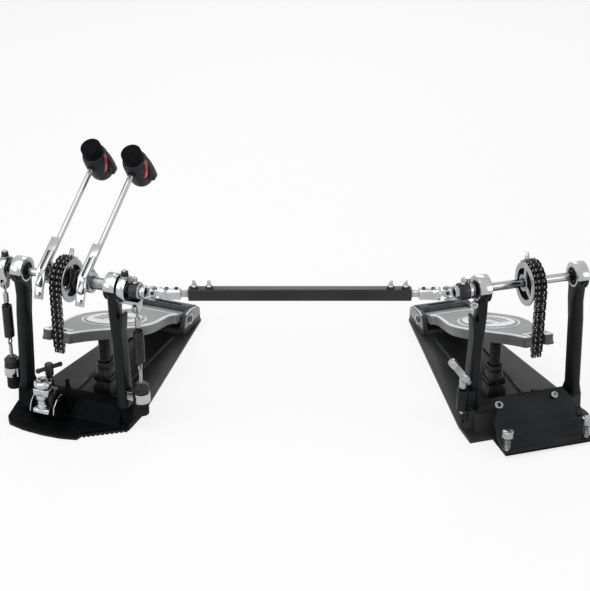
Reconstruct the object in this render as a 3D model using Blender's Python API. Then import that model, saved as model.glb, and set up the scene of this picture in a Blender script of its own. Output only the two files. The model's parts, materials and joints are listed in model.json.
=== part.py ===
"""Double bass drum pedal: two footboards, two beaters, one jointed drive link between them.

Metres, +Z up. The origin lies on the floor under the middle of the main pedal's shaft. Each pedal is
drawn in its own frame: X along its shaft, Y from the drum toward the player's heel. `side` is +1 on the
main pedal and -1 on the slave pedal, whose inner side, toward the link, is its -X side.
"""

import math

import bmesh
import bpy
import numpy as np
from mathutils import Matrix, Vector

# Driving dimensions, in metres and degrees.
GAP = 0.0003                 # between two pieces that touch
RUN = 0.0004                 # radial clearance of a pin that turns in a hole
SHAFT_Z = 0.217              # height of both shafts above the floor
SHAFT_R = 0.006
SLEEVE_R = 0.0085            # second beater's sleeve, which turns round the main shaft
MAIN_YAW = 21.5              # the heels point inward by these angles
SLAVE_YAW = 17.0
POST_FOOT = 0.079            # post centres from the middle, at foot and head
POST_HEAD = 0.072
MAIN_REACH = POST_HEAD + 0.058             # shaft middle to universal joint
SLAVE_REACH = POST_HEAD + 0.050
POST_WIDTH = 0.016
POST_DEPTH = 0.023
HEAD_R = 0.019               # outer radius of a bearing housing
BEARING_R = 0.0135
HEAD_WIDTH = 0.016
FOOT_Z = 0.034               # where the posts stand on the casting
PLATE = 0.005                # base plate thickness
BASE_FRONT_HALF = 0.094      # half width of the base at the shaft, and its taper
BASE_TAPER = 0.150
BASE_BACK = 0.326
SEAM_Y = 0.032               # where the main casting ends and its base plate begins

CAM_OFFSET = 0.004           # the cam's centre stands this far in front of the shaft
CHAIN_PITCH = 0.008
CHAIN_R = 0.031              # pitch radius of the wrapped chain
LINK_HALF = 0.0035           # half height of a chain plate
PIN_R = 0.0017
WRAPPED, TURNING, HANGING = 4, 3, 12       # links on the cam, between, and down
PEDAL_PIN = 9                # this pin of the hanging run carries the footboard

HINGE_Y = 0.279              # footboard hinge at the heel
HINGE_Z = 0.027
BOARD_HALF_DEPTH = 0.008
BOARD_WALL = 0.003
TINE_REACH = 0.007           # the tip runs on past the chain pin
HEEL_HALF = 0.0455
KNUCKLE_HALF = 0.0372

BEATER_LEAN = 57.0           # from upright, toward the player, at rest
MAIN_BEATER_X = -0.030
SECOND_BEATER_X = 0.034
BEATER_R = 0.004
BEATER_AHEAD = 0.0140        # the beater shaft passes this far in front of the pedal shaft
BEATER_FOOT = -0.027
BEATER_REACH = 0.191         # pedal shaft to the middle of the beater head
PLATE_TURN = 37.0            # the holder's tail is steeper than the beater by this angle

STROKE = 57.0                # rest to drum head
YOKE_R = 0.009
YOKE_PIN_R = 0.0018
LINK_ROD_R = 0.005
TUBE_START = 0.048           # from the main universal joint
TUBE_LENGTH = 0.300
LINK_LENGTH = TUBE_LENGTH + 2 * TUBE_START           # between the two universal joints
TUBE_WIDTH = 0.014
TUBE_HEIGHT = 0.017

LEVER_R = 0.026              # spring lever: shaft to hook pin
LEFT_LEVER_X = -POST_HEAD - 0.0255
RIGHT_LEVER_X = POST_HEAD + 0.0170
LEVER_HALF = 0.0055
LEFT_SPRING_X = -POST_HEAD - 0.028
RIGHT_SPRING_X = POST_HEAD + 0.035
SPRING_Y = -0.004
EYE_Z = 0.101
EYE_R = 0.0055
SPRING_R = 0.0064            # wire centre line
WIRE_R = 0.0011
SPRING_TURNS = 11
SPRING_TOP = 0.160
NUT_R = 0.0098
KNOB_R = 0.0112
BRACKET_Z = 0.047
BRACKET_HEIGHT = 0.0140

COIL_Y = 0.056               # return spring unit under the footboard
COIL_X = 0.018               # toward the link
COIL_FOOT = 0.062
COIL_TOP = 0.1035
COIL_R = 0.0068
COIL_WIRE_R = 0.00095
COIL_TURNS = 5

CLAMP_X, CLAMP_Y = -0.028, -0.041          # hoop clamp on the main pedal
T_BOLT_Y = -0.022
SPUR_X, SPUR_Y = 0.060, -0.088             # floor spurs on the slave pedal
KEY_X, KEY_Y = 0.0965, -0.014              # drum key on the slave's inner post

TURN = 2.0 * math.degrees(math.asin(CHAIN_PITCH / 2 / CHAIN_R))
SEAT_R = CHAIN_R * math.cos(math.radians(TURN / 2)) - LINK_HALF - GAP

FINISHES = {                 # colour, roughness, metallic
    "black_casting": ((0.022, 0.023, 0.026), 0.50, 0.0),
    "dark_plate": ((0.055, 0.058, 0.062), 0.45, 0.3),
    "chrome": ((0.78, 0.79, 0.80), 0.14, 1.0),
    "steel": ((0.60, 0.61, 0.62), 0.30, 1.0),
    "alloy": ((0.47, 0.48, 0.49), 0.38, 0.9),
    "chain_black": ((0.030, 0.031, 0.034), 0.35, 0.7),
    "rubber": ((0.015, 0.015, 0.016), 0.80, 0.0),
    "head_body": ((0.045, 0.047, 0.050), 0.55, 0.0),
    "plastic": ((0.020, 0.020, 0.022), 0.40, 0.0),
}


def clear_scene():
    for obj in list(bpy.data.objects):
        bpy.data.objects.remove(obj, do_unlink=True)


def around(radius, sides):
    """Corner radius of a many-sided hole whose flats clear a round of this radius."""
    return radius / math.cos(math.pi / sides)


def mesh_from(verts, faces):
    """A closed mesh with its faces turned outward."""
    form = bmesh.new()
    points = [form.verts.new(Vector(v)) for v in verts]
    for face in faces:
        form.faces.new([points[i] for i in face])
    bmesh.ops.recalc_face_normals(form, faces=form.faces)
    mesh = bpy.data.meshes.new("form")
    form.to_mesh(mesh)
    form.free()
    return mesh


def loft(rings):
    """Rings of equal count bridged in order, with flat ends."""
    count = len(rings[0])
    verts = [p for ring in rings for p in ring]
    faces = [list(range(count)), list(range(len(verts) - count, len(verts)))]
    for r in range(len(rings) - 1):
        for i in range(count):
            j = (i + 1) % count
            faces.append([r * count + i, r * count + j, (r + 1) * count + j, (r + 1) * count + i])
    return mesh_from(verts, faces)


def prism(along, outline, low, high):
    """An outline carried straight along an axis; (a, b) are the two other axes in X, Y, Z order."""
    place = {"x": lambda a, b, t: (t, a, b), "y": lambda a, b, t: (a, t, b), "z": lambda a, b, t: (a, b, t)}
    return loft([[place[along](a, b, t) for a, b in outline] for t in (low, high)])


def block(low, high):
    return prism("z", [(low[0], low[1]), (high[0], low[1]), (high[0], high[1]), (low[0], high[1])],
                 low[2], high[2])


def chamfered(half_a, half_b, cut):
    """A rectangle's outline with its corners cut."""
    return [(half_a, half_b - cut), (half_a - cut, half_b), (cut - half_a, half_b), (-half_a, half_b - cut),
            (-half_a, cut - half_b), (cut - half_a, -half_b), (half_a - cut, -half_b), (half_a, cut - half_b)]


def turned(start, end, profile, sides=14):
    """A profile of (distance from start, radius) turned about the line from start to end."""
    start, axis = Vector(start), (Vector(end) - Vector(start)).normalized()
    across = axis.orthogonal().normalized()
    third = axis.cross(across)
    rings = []
    for distance, radius in profile:
        ring = []
        for i in range(sides):
            a = 2 * math.pi * (i + 0.5) / sides
            ring.append(start + axis * distance + (across * math.cos(a) + third * math.sin(a)) * radius)
        rings.append(ring)
    return loft(rings)


def rod(start, end, radius, sides=10):
    length = (Vector(end) - Vector(start)).length
    return turned(start, end, [(0.0, radius), (length, radius)], sides)


def together(*meshes):
    """Several forms in one mesh."""
    form = bmesh.new()
    for mesh in meshes:
        form.from_mesh(mesh)
    mesh = bpy.data.meshes.new("forms")
    form.to_mesh(mesh)
    form.free()
    return mesh


def moved(mesh, matrix):
    """The mesh placed by the matrix, with its faces still outward where the matrix mirrors."""
    mesh.transform(matrix)
    if matrix.determinant() < 0:
        mesh.flip_normals()
    return mesh


def empty(name, parent, location=(0.0, 0.0, 0.0), turn_z=0.0):
    carrier = bpy.data.objects.new(name, None)
    carrier.empty_display_size = 0.02
    carrier.parent = parent
    carrier.location = location
    carrier.rotation_euler = (0.0, 0.0, math.radians(turn_z))
    bpy.context.scene.collection.objects.link(carrier)
    return carrier


def place(obj, carrier, pivot):
    """The mesh keeps its pedal's coordinates; the empty that carries it stands on the joint's axis."""
    obj.parent = carrier
    obj.location = -Vector(pivot)
    bpy.context.scene.collection.objects.link(obj)


def helper(obj, carrier, pivot, mesh, operation):
    """A hidden form that is joined to obj or cut from it."""
    tool = bpy.data.objects.new(f"{obj.name}_{operation.lower()}", mesh)
    place(tool, carrier, pivot)
    tool.hide_render = True
    tool.display_type = "WIRE"
    modifier = obj.modifiers.new(operation.title(), "BOOLEAN")
    modifier.operation = operation
    modifier.object = tool


def material_of(name, finish):
    colour, roughness, metallic = FINISHES[finish]
    material = bpy.data.materials.new(f"{name}_{finish}")
    material.use_nodes = True
    shader = material.node_tree.nodes["Principled BSDF"]
    shader.inputs["Base Color"].default_value = (*colour, 1.0)
    shader.inputs["Roughness"].default_value = roughness
    shader.inputs["Metallic"].default_value = metallic
    return material


def piece(name, finish, body, base, add=(), cut=()):
    """One named solid: base, joined with each form of add, then cut by each form of cut."""
    carrier, pivot = body
    obj = bpy.data.objects.new(name, base)
    base.name = name
    place(obj, carrier, pivot)
    base.materials.append(material_of(name, finish))
    base.shade_smooth()
    base.set_sharp_from_angle(angle=math.radians(32))
    for mesh in add:
        helper(obj, carrier, pivot, mesh, "UNION")
    for mesh in cut:
        helper(obj, carrier, pivot, mesh, "DIFFERENCE")
    return obj


def base_half(y):
    """Half width of the tapering base at y."""
    return BASE_FRONT_HALF - BASE_TAPER * y


TOE = [(-0.0900, SEAM_Y - GAP), (-0.0900, -0.0144), (-0.0810, -0.0560), (-0.0746, -0.0630),
       (-0.0500, -0.0690), (-0.0190, -0.0715), (0.0100, -0.0700), (0.0334, -0.0648),
       (0.0363, -0.0533), (0.0900, -0.0156), (0.0900, SEAM_Y - GAP)]
SOLE_TEETH = 10
TOOTH = 0.003
SOLE_HEIGHT = 0.004
TOE_TOP = 0.010


def main_sole(body):
    """Rubber sole under the casting, with a toothed edge at its front right."""
    edge_start, edge_end = Vector(TOE[8]), Vector(TOE[9])
    along = (edge_end - edge_start) / SOLE_TEETH
    outward = Vector((along.y, -along.x)).normalized() * TOOTH
    teeth = []
    for i in range(SOLE_TEETH):
        corner = edge_start + along * i
        teeth += [tuple(corner + along * 0.15 + outward), tuple(corner + along * 0.6 + outward),
                  tuple(corner + along * 0.75)]
    piece("main_sole", "rubber", body, prism("z", TOE[:9] + teeth + TOE[9:], 0.0, SOLE_HEIGHT))


def beam_and_feet(floor):
    """The cross beam between the posts, and the feet that they stand on."""
    beam = prism("x", [(-0.026, floor), (-0.016, 0.028), (-0.011, FOOT_Z - 0.001), (0.012, FOOT_Z - 0.001),
                       (0.017, floor)], -POST_FOOT, POST_FOOT)
    feet = []
    for x in (-POST_FOOT, POST_FOOT):
        feet.append(loft([[(x + a * grow, b * grow, z) for a, b in chamfered(0.0105, 0.0165, 0.004)]
                          for z, grow in ((floor, 1.0), (FOOT_Z, 0.9))]))
    return beam, together(*feet)


def main_casting(body):
    """Toe plate, cross beam and post feet in one, with the hoop clamp's two cheeks."""
    toe = prism("z", TOE, SOLE_HEIGHT + GAP, TOE_TOP)
    beam, feet = beam_and_feet(TOE_TOP - 0.001)
    cheek = [(CLAMP_Y - 0.006, TOE_TOP - 0.001), (CLAMP_Y - 0.006, TOE_TOP + 0.005),
             (CLAMP_Y - 0.010, TOE_TOP + 0.012), (CLAMP_Y - 0.007, 0.034),
             (CLAMP_Y + 0.004, 0.043), (CLAMP_Y + 0.018, 0.043), (CLAMP_Y + 0.026, 0.032),
             (CLAMP_Y + 0.026, TOE_TOP - 0.001)]
    cheeks = [prism("x", cheek, CLAMP_X + x, CLAMP_X + x + 0.004) for x in (-0.0205, 0.0165)]
    stop_bolt = turned((0.000, -0.022, 0.012), (0.000, -0.022, 0.1),
                       [(0.0, 0.0038), (0.046, 0.0038), (0.046, 0.0030), (0.056, 0.0030)], 10)
    bay = block((CLAMP_X - 0.0165, CLAMP_Y - 0.014, TOE_TOP + 0.0005),
                (CLAMP_X + 0.0165, T_BOLT_Y + 0.0075, 0.060))
    pin_hole = rod((CLAMP_X - 0.03, JAW_PIN[0], JAW_PIN[1]), (CLAMP_X + 0.03, JAW_PIN[0], JAW_PIN[1]),
                   around(JAW_PIN_R + RUN, 12), 12)
    piece("main_front_casting", "black_casting", body, toe, add=[beam, feet, together(*cheeks), stop_bolt],
          cut=[bay, pin_hole])


JAW_PIN = (CLAMP_Y + 0.006, 0.033)
JAW_PIN_R = 0.003
JAW_HALF = 0.0155


def clamp_jaw(body):
    """Rocks on its pin: the lip holds the drum's hoop down on the toe plate."""
    y = CLAMP_Y
    nose = prism("x", [(y - 0.012, 0.0215), (y - 0.013, 0.025), (y - 0.009, 0.040), (y - 0.004, 0.048),
                       (y + 0.013, 0.049), (y + 0.013, 0.026), (y + 0.006, 0.0215)],
                 CLAMP_X - JAW_HALF, CLAMP_X + JAW_HALF)
    arm = block((CLAMP_X - 0.011, y + 0.010, 0.041), (CLAMP_X + 0.011, T_BOLT_Y + 0.0065, 0.0485))
    barrel = turned((CLAMP_X, y, 0.046), (CLAMP_X, y, 0.1),
                    [(0.0, 0.0095), (0.010, 0.0095), (0.010, 0.0085), (0.018, 0.0085), (0.018, 0.012),
                     (0.0245, 0.012), (0.026, 0.0105)], 16)
    pin = rod((CLAMP_X - 0.0200, *JAW_PIN), (CLAMP_X + 0.0200, *JAW_PIN), JAW_PIN_R)
    slots = [block((CLAMP_X - a, y - b, 0.0700), (CLAMP_X + a, y + b, 0.075))
             for a, b in ((0.0055, 0.0013), (0.0013, 0.0055))]
    t_hole = rod((CLAMP_X, T_BOLT_Y, 0.030), (CLAMP_X, T_BOLT_Y, 0.060), around(T_BOLT_R + 0.0017, 12), 12)
    piece("clamp_jaw", "chrome", body, nose, add=[arm, barrel, pin], cut=[slots[0], slots[1], t_hole])


T_BOLT_R = 0.0032


def clamp_t_bolt(body):
    shank = turned((CLAMP_X, T_BOLT_Y, TOE_TOP + 0.001), (CLAMP_X, T_BOLT_Y, 1.0),
                    [(0.0, T_BOLT_R), (0.0420, T_BOLT_R), (0.0420, 0.0055), (0.0530, 0.0055), (0.0530, 0.0046),
                    (0.0590, 0.0046), (0.0590, 0.0062), (0.0770, 0.0062)], 8)
    reach = Vector((0.0107, 0.0170, 0.0))
    length = 2 * reach.length
    middle = Vector((CLAMP_X, T_BOLT_Y, 0.0815))
    bar = turned(middle - reach, middle + reach,
                 [(0.0, 0.0026), (0.003, 0.0034), (length - 0.003, 0.0034), (length, 0.0026)], 8)
    piece("clamp_t_bolt", "steel", body, shank, add=[bar])


def post(name, body, x_foot, x_head, inner, add=()):
    """Leaning post with the lower half of a bearing housing as its head. An inner post has a second,
    shorter arm, which leaves a notch beside its neck."""
    neck_z = SHAFT_Z - HEAD_R * 0.6
    toward = 1 if x_foot > 0 else -1
    lean = [(0.150, x_head + (x_foot - x_head) * 0.4)]
    sections = [(FOOT_Z + GAP, x_foot, 0.0092, 0.0145), (FOOT_Z + 0.012, x_foot, POST_WIDTH / 2, POST_DEPTH / 2),
                (*lean[0], POST_WIDTH / 2, POST_DEPTH / 2)]
    if inner:
        sections += [(0.178, x_head - toward * 0.001, 0.0062, 0.0115), (neck_z, x_head, 0.0064, 0.0140)]
    else:
        sections += [(0.180, x_head, POST_WIDTH / 2 - 0.0003, 0.0125), (neck_z, x_head, 0.0072, 0.0150)]
    rings = [[(x + a, b, z) for a, b in chamfered(half_x, half_y, 0.0035)] for z, x, half_x, half_y in sections]
    half = HEAD_WIDTH / 2
    forms = [rod((x_head - half, 0.0, SHAFT_Z), (x_head + half, 0.0, SHAFT_Z), HEAD_R, 20), *add]
    if inner:
        arm = [(x_head - toward * 0.001, 0.136), (x_head + toward * 0.0105, 0.146),
               (x_head + toward * 0.0135, 0.176), (x_head + toward * 0.0105, 0.178),
               (x_head + toward * 0.0030, 0.158)]
        forms.append(prism("y", arm, -0.0085, 0.0085))
    far = 0.02
    cut = [block((x_head - far, -0.03, SHAFT_Z - GAP / 2), (x_head + far, 0.03, SHAFT_Z + 0.03)),
           rod((x_head - far, 0.0, SHAFT_Z), (x_head + far, 0.0, SHAFT_Z), around(BEARING_R + GAP, 16), 16)]
    piece(name, "black_casting", body, loft(rings), add=forms, cut=cut)


def bearing_cap(name, body, x_head, turning_r):
    """Half ring over the post's head, one with the bearing that it clamps."""
    half = HEAD_WIDTH / 2
    bearing = rod((x_head - half, 0.0, SHAFT_Z), (x_head + half, 0.0, SHAFT_Z), BEARING_R, 16)
    low = SHAFT_Z + GAP / 2
    arc = []
    for i in range(11):
        a = math.pi * i / 10
        arc.append(((HEAD_R + 0.0004) * math.cos(a), low + (HEAD_R + 0.0002) * math.sin(a)))
    half_ring = prism("x", arc, x_head - half - 0.0006, x_head + half + 0.0006)
    bore = rod((x_head - 0.02, 0.0, SHAFT_Z), (x_head + 0.02, 0.0, SHAFT_Z), around(turning_r + RUN, 14), 14)
    piece(name, "chrome", body, bearing, add=[half_ring], cut=[bore])


def slave_base(body):
    """Floor plate, cross beam and post feet of the slave pedal."""
    front = -0.043
    plate = prism("z", [(-0.0945, front), (0.0945, front), (base_half(0.0), 0.0),
                        (base_half(BASE_BACK), BASE_BACK), (-base_half(BASE_BACK), BASE_BACK),
                        (-base_half(0.0), 0.0)], 0.0, PLATE)
    beam, feet = beam_and_feet(PLATE - 0.001)
    piece("slave_base_plate", "dark_plate", body, plate, add=[beam, feet, rails()])


def rails():
    """Two ribs pressed in a base plate."""
    half, rise, start, end = 0.004, 0.003, 0.085, 0.250
    forms = []
    for x in (-0.030, 0.030):
        outline = [(x - half, PLATE - GAP), (x + half, PLATE - GAP), (x + half / 2, PLATE + rise),
                   (x - half / 2, PLATE + rise)]
        forms.append(prism("y", outline, start, end))
    return together(*forms)


def main_base(body):
    plate = prism("z", [(-base_half(SEAM_Y), SEAM_Y), (base_half(SEAM_Y), SEAM_Y),
                        (base_half(BASE_BACK), BASE_BACK), (-base_half(BASE_BACK), BASE_BACK)], 0.0, PLATE)
    piece("main_base_plate", "dark_plate", body, plate, add=[rails()])


def bent_sheet(profile, thickness):
    """Outline of a sheet that follows a line of (a, b) points, with its thickness on the right of it."""
    far = []
    for i, point in enumerate(profile):
        before = Vector(profile[max(i - 1, 0)])
        after = Vector(profile[min(i + 1, len(profile) - 1)])
        into, out = Vector(point) - before, after - Vector(point)
        into = into if into.length else out
        out = out if out.length else into
        normals = [Vector((d.y, -d.x)).normalized() for d in (into, out)]
        bisector = (normals[0] + normals[1]).normalized()
        far.append(tuple(Vector(point) + bisector * thickness / max(bisector.dot(normals[0]), 0.3)))
    return list(profile) + far[::-1]


def slave_front(body):
    """Bent sheet in front of the beam, whose lip carries the two floor spurs."""
    line = [(-0.0285, 0.060), (-0.0325, 0.059), (-0.0400, 0.049), (-0.0560, 0.030), (-0.0640, 0.020),
            (-0.0700, 0.0165), (-0.0900, 0.0105), (-0.0935, 0.0080)]
    sheet = prism("x", bent_sheet(line[::-1], 0.0035), -0.064, 0.066)
    narrow = [prism("y", [(side * 0.045, 0.064), (side * 0.08, 0.064), (side * 0.08, 0.028), (side * 0.068, 0.028)],
                    -0.12, 0.0) for side in (-1, 1)]
    boss = turned((0.068, -0.060, 0.0265), (0.068, -0.040, 0.0360), [(0.0, 0.009), (0.022, 0.009)], 12)
    bores = [rod((side * SPUR_X, SPUR_Y, 0.0), (side * SPUR_X, SPUR_Y, 0.03), around(SPUR_R + RUN, 12), 12)
             for side in (-1, 1)]
    brace = prism("x", [(-0.0400, PLATE + GAP), (-0.0400, 0.0440), (-0.0335, 0.0510), (-0.0290, 0.0530),
                        (-0.0270, 0.0290), (-0.0270, PLATE + GAP)], -0.030, 0.030)
    piece("slave_front_plate", "black_casting", body, sheet, add=[boss, brace],
          cut=[together(*narrow), together(*bores)])


SPUR_R = 0.0032


def spur(name, body, x):
    """Knurled screw with a point, in the lip of the front plate."""
    form = turned((x, SPUR_Y, GAP), (x, SPUR_Y, 1.0),
                  [(0.0, 0.0004), (0.006, SPUR_R), (0.0305, SPUR_R), (0.0305, 0.0070), (0.0325, 0.0082),
                   (0.0395, 0.0082), (0.0415, 0.0070)], 10)
    piece(name, "steel", body, form)


def key_and_holster():
    """The holster's form on the slave's inner post, with the key's hole cut by the caller."""
    x = -KEY_X
    tube = rod((x, KEY_Y, 0.040), (x, KEY_Y, 0.072), 0.0085, 14)
    web = block((x, KEY_Y - 0.004, 0.044), (-POST_FOOT, 0.004, 0.068))
    return [tube, web]


def key(body):
    x = -KEY_X
    shank = turned((x, KEY_Y, 0.018), (x, KEY_Y, 1.0), [(0.0, 0.0052), (0.016, 0.0052), (0.016, 0.0036), (0.064, 0.0036)], 8)
    low, high = Vector((x + 0.003, KEY_Y, 0.076)), Vector((x - 0.009, KEY_Y - 0.002, 0.122))
    handle = turned(low, high, [(0.0, 0.0036), (0.004, 0.0052), (0.043, 0.0052), (0.047, 0.0036)], 10)
    piece("key", "steel", body, shank, add=[handle])


def heel_block(name, body):
    """Heel rest with two cheeks and the footboard's hinge pin."""
    rest = prism("x", [(0.262, PLATE + GAP), (0.263, 0.013), (0.290, 0.013), (0.2905, 0.034), (0.2930, 0.0365),
                       (0.3020, 0.0365), (0.3180, 0.030), (0.3215, 0.022), (0.3215, PLATE + GAP)],
                 -HEEL_HALF, HEEL_HALF)
    cheek = [(0.262, PLATE + GAP), (0.2605, 0.018), (0.2660, 0.034), (0.2740, 0.0385), (0.2860, 0.0385),
             (0.2940, 0.0360), (0.2940, PLATE + GAP)]
    cheeks = [prism("x", cheek, *sorted((side * 0.0385, side * HEEL_HALF))) for side in (-1, 1)]
    pin = rod((-HEEL_HALF - 0.003, HINGE_Y, HINGE_Z), (HEEL_HALF + 0.003, HINGE_Y, HINGE_Z), HINGE_PIN_R)
    heads = [rod((side * HEEL_HALF - side * 0.001, HINGE_Y, HINGE_Z), (side * (HEEL_HALF + 0.003), HINGE_Y, HINGE_Z),
                 0.0055, 6) for side in (-1, 1)]
    piece(name, "black_casting", body, rest, add=[together(*cheeks), pin, together(*heads)])


HINGE_PIN_R = 0.003


def coil_base(name, body, side):
    x = side * COIL_X
    tower = loft([[(x + a, COIL_Y + b, z) for a, b in chamfered(half, deep, cut)] for z, half, deep, cut in (
        (PLATE + GAP, 0.0155, 0.0160, 0.003), (0.026, 0.0150, 0.0150, 0.003), (0.033, 0.0120, 0.0120, 0.004),
        (COIL_FOOT - GAP, 0.0100, 0.0100, 0.004))])
    stud = rod((x, COIL_Y, 0.055), (x, COIL_Y, COIL_FOOT + 0.008), 0.0045)
    piece(name, "plastic", body, tower, add=[stud])


def wire(name, finish, body, centre, low, high, radius, end_radius, tube, turns, lift):
    """A wound wire whose ends leave the seats squarely at end_radius from its axis."""
    steps = 8
    fine = [math.radians(a) for a in range(0, 120, 30)]
    total = 2 * math.pi * turns
    inner = [math.radians(120) + (total - math.radians(240)) * i / round((turns - 0.667) * steps)
             for i in range(round((turns - 0.667) * steps) + 1)]
    angles = fine + inner + [total - a for a in fine[::-1]]
    pitch = (high - low - 4 * tube - 2 * lift) / turns
    points = [(centre[0] + end_radius, centre[1], low)]
    for a in angles:
        near = min(a, total - a)
        grow = min(near / math.radians(200), 1.0)
        r = end_radius + (radius - end_radius) * grow * grow * (3 - 2 * grow)
        up = lift * (1 - math.exp(-a / 0.6)) - lift * (1 - math.exp(-(total - a) / 0.6)) + lift
        points.append((centre[0] + r * math.cos(a), centre[1] + r * math.sin(a),
                       low + 2 * tube + up + pitch * a / (2 * math.pi)))
    last = points[-1]
    points.append((last[0], last[1], high))
    curve = bpy.data.curves.new(name, "CURVE")
    curve.dimensions = "3D"
    curve.bevel_depth = tube
    curve.bevel_resolution = 1
    curve.use_fill_caps = True
    curve.render_resolution_u = 0
    line = curve.splines.new("POLY")
    line.points.add(len(points) - 1)
    for point, spot in zip(line.points, points):
        point.co = (*spot, 1.0)
    carrier, pivot = body
    obj = bpy.data.objects.new(name, curve)
    place(obj, carrier, pivot)
    curve.materials.append(material_of(name, finish))
    path = np.array(points)
    gaps = np.linalg.norm(path[:, None] - path[None], axis=2)
    apart = np.abs(np.subtract.outer(np.arange(len(path)), np.arange(len(path)))) > 5
    print(f"{name}: least gap between turns {1000 * (gaps[apart].min() - 2 * tube):.2f} mm")


BOARD_TILT = -math.degrees(math.atan2(SHAFT_Z - PEDAL_PIN * CHAIN_PITCH - HINGE_Z, HINGE_Y + CAM_OFFSET + CHAIN_R))
BOARD_PIN = math.hypot(SHAFT_Z - PEDAL_PIN * CHAIN_PITCH - HINGE_Z, HINGE_Y + CAM_OFFSET + CHAIN_R)
BOARD_SIDE = [(0.000, 0.022), (0.018, 0.0232), (0.052, 0.0285), (0.085, 0.0365), (0.118, 0.0450), (0.150, 0.0508),
              (0.181, 0.0530), (0.213, 0.0500), (0.245, 0.0435), (0.277, 0.0370), (0.298, 0.0335),
              (0.316, 0.0345), (0.322, 0.0372)]


def board_outline(inset, start, end, count=16):
    """Half width along the footboard, from its tip, read from a smooth line through BOARD_SIDE."""
    ways = np.array([p[0] for p in BOARD_SIDE])
    widths = np.array([p[1] for p in BOARD_SIDE])
    slopes = np.gradient(widths, ways)
    right = []
    for i in range(count):
        t = start + (end - start) * i / (count - 1)
        k = int(np.clip(np.searchsorted(ways, t) - 1, 0, len(ways) - 2))
        span = ways[k + 1] - ways[k]
        u = (t - ways[k]) / span
        value = ((2 * u ** 3 - 3 * u ** 2 + 1) * widths[k] + (u ** 3 - 2 * u ** 2 + u) * span * slopes[k]
                 + (3 * u ** 2 - 2 * u ** 3) * widths[k + 1] + (u ** 3 - u ** 2) * span * slopes[k + 1])
        right.append((float(value) - inset, t))
    return right + [(-x, t) for x, t in right[::-1]]


def footboard(name, body, side):
    """Cast board, hollow below between ribs; two tines at its tip hold the chain's pin."""
    tip = -BOARD_PIN - TINE_REACH
    to_pedal = Matrix.Translation((0.0, HINGE_Y, HINGE_Z)) @ Matrix.Rotation(math.radians(BOARD_TILT), 4, "X")

    def laid(mesh):
        return moved(mesh, to_pedal)

    def along(outline):
        return [(x, tip + t) for x, t in outline]

    half = BOARD_HALF_DEPTH
    full = board_outline(0.0, 0.0, 0.322)
    tapered = loft([[(x, y, -half) for x, y in along(full)], [(x, y, half - 0.002) for x, y in along(full)],
                    [(x * 0.965, y, half) for x, y in along(full)]])
    knuckle = rod((-KNUCKLE_HALF, 0.0, 0.0), (KNUCKLE_HALF, 0.0, 0.0), 0.0078, 12)
    neck = block((-KNUCKLE_HALF, tip + 0.321, -0.0060), (KNUCKLE_HALF, -0.001, 0.0060))
    oval = [(0.038 * math.cos(2 * math.pi * i / 20), -0.175 + 0.068 * math.sin(2 * math.pi * i / 20))
            for i in range(20)]
    inlay = prism("z", oval, half - 0.001, half + 0.0011)
    pocket_rows = [(0.030, 0.170), (0.173, 0.314)]
    pockets = []
    for start, end in pocket_rows:
        edge = board_outline(BOARD_WALL, start, end, 4)
        for sign in (-1, 1):
            outer = [(sign * x, t) for x, t in edge[:4]]
            inner = [(sign * 0.0015, outer[-1][1]), (sign * 0.0015, outer[0][1])]
            pockets.append(laid(prism("z", along(outer + inner), -half - 0.001, half - BOARD_WALL)))
    chain_slot = block((-0.0090, tip - 0.002, -0.02), (0.0090, -BOARD_PIN + 0.0145, 0.02))
    pin_slot = prism("x", [(-BOARD_PIN + a * 0.0062, b * 0.0026) for a, b in (
        (1.0, -0.5), (1.0, 0.5), (0.75, 1.0), (-0.75, 1.0), (-1.0, 0.5), (-1.0, -0.5), (-0.75, -1.0), (0.75, -1.0))],
        -0.0120, 0.0120)
    hinge_bore = rod((-0.06, 0.0, 0.0), (0.06, 0.0, 0.0), around(HINGE_PIN_R + RUN, 12), 12)
    boss = rod((side * COIL_X, COIL_Y, COIL_TOP + GAP), (side * COIL_X, COIL_Y, 0.116), 0.0078)
    cuts = [together(*pockets), laid(chain_slot), laid(pin_slot), laid(hinge_bore)]
    obj = piece(name, "alloy", body, laid(tapered), add=[laid(knuckle), laid(neck), laid(inlay)], cut=cuts)
    helper(obj, body[0], body[1], boss, "UNION")


def chain_pin(k):
    """(y, z) of pin k: on the cam while k is under the count of wrapped and turning links, then below."""
    wound = WRAPPED + TURNING
    if k > wound:
        return (-CAM_OFFSET - CHAIN_R, SHAFT_Z - CHAIN_PITCH * (k - wound))
    a = math.radians(TURN * (wound - k))
    return (-CAM_OFFSET - CHAIN_R * math.cos(a), SHAFT_Z + CHAIN_R * math.sin(a))


BLOCK_IN, BLOCK_OUT = 0.0016, 0.0062       # inner link of one strand
PLATE_IN, PLATE_OUT = 0.0068, 0.0080       # outer plates
MIDDLE_HALF = 0.0011
PIN_HALF = 0.0074            # its ends are riveted inside the outer plates
PLATE_PROFILE = [(-0.0034, -0.0015), (-0.0034, 0.0015), (-0.0017, LINK_HALF),
                 (CHAIN_PITCH + 0.0017, LINK_HALF), (CHAIN_PITCH + 0.0034, 0.0015),
                 (CHAIN_PITCH + 0.0034, -0.0015), (CHAIN_PITCH + 0.0017, -LINK_HALF), (-0.0017, -LINK_HALF)]
BLOCK_PROFILE = [(-0.0034, 0.0), (-0.0017, LINK_HALF), (CHAIN_PITCH + 0.0017, LINK_HALF),
                 (CHAIN_PITCH + 0.0034, 0.0), (CHAIN_PITCH + 0.0017, -LINK_HALF), (-0.0017, -LINK_HALF)]


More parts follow.
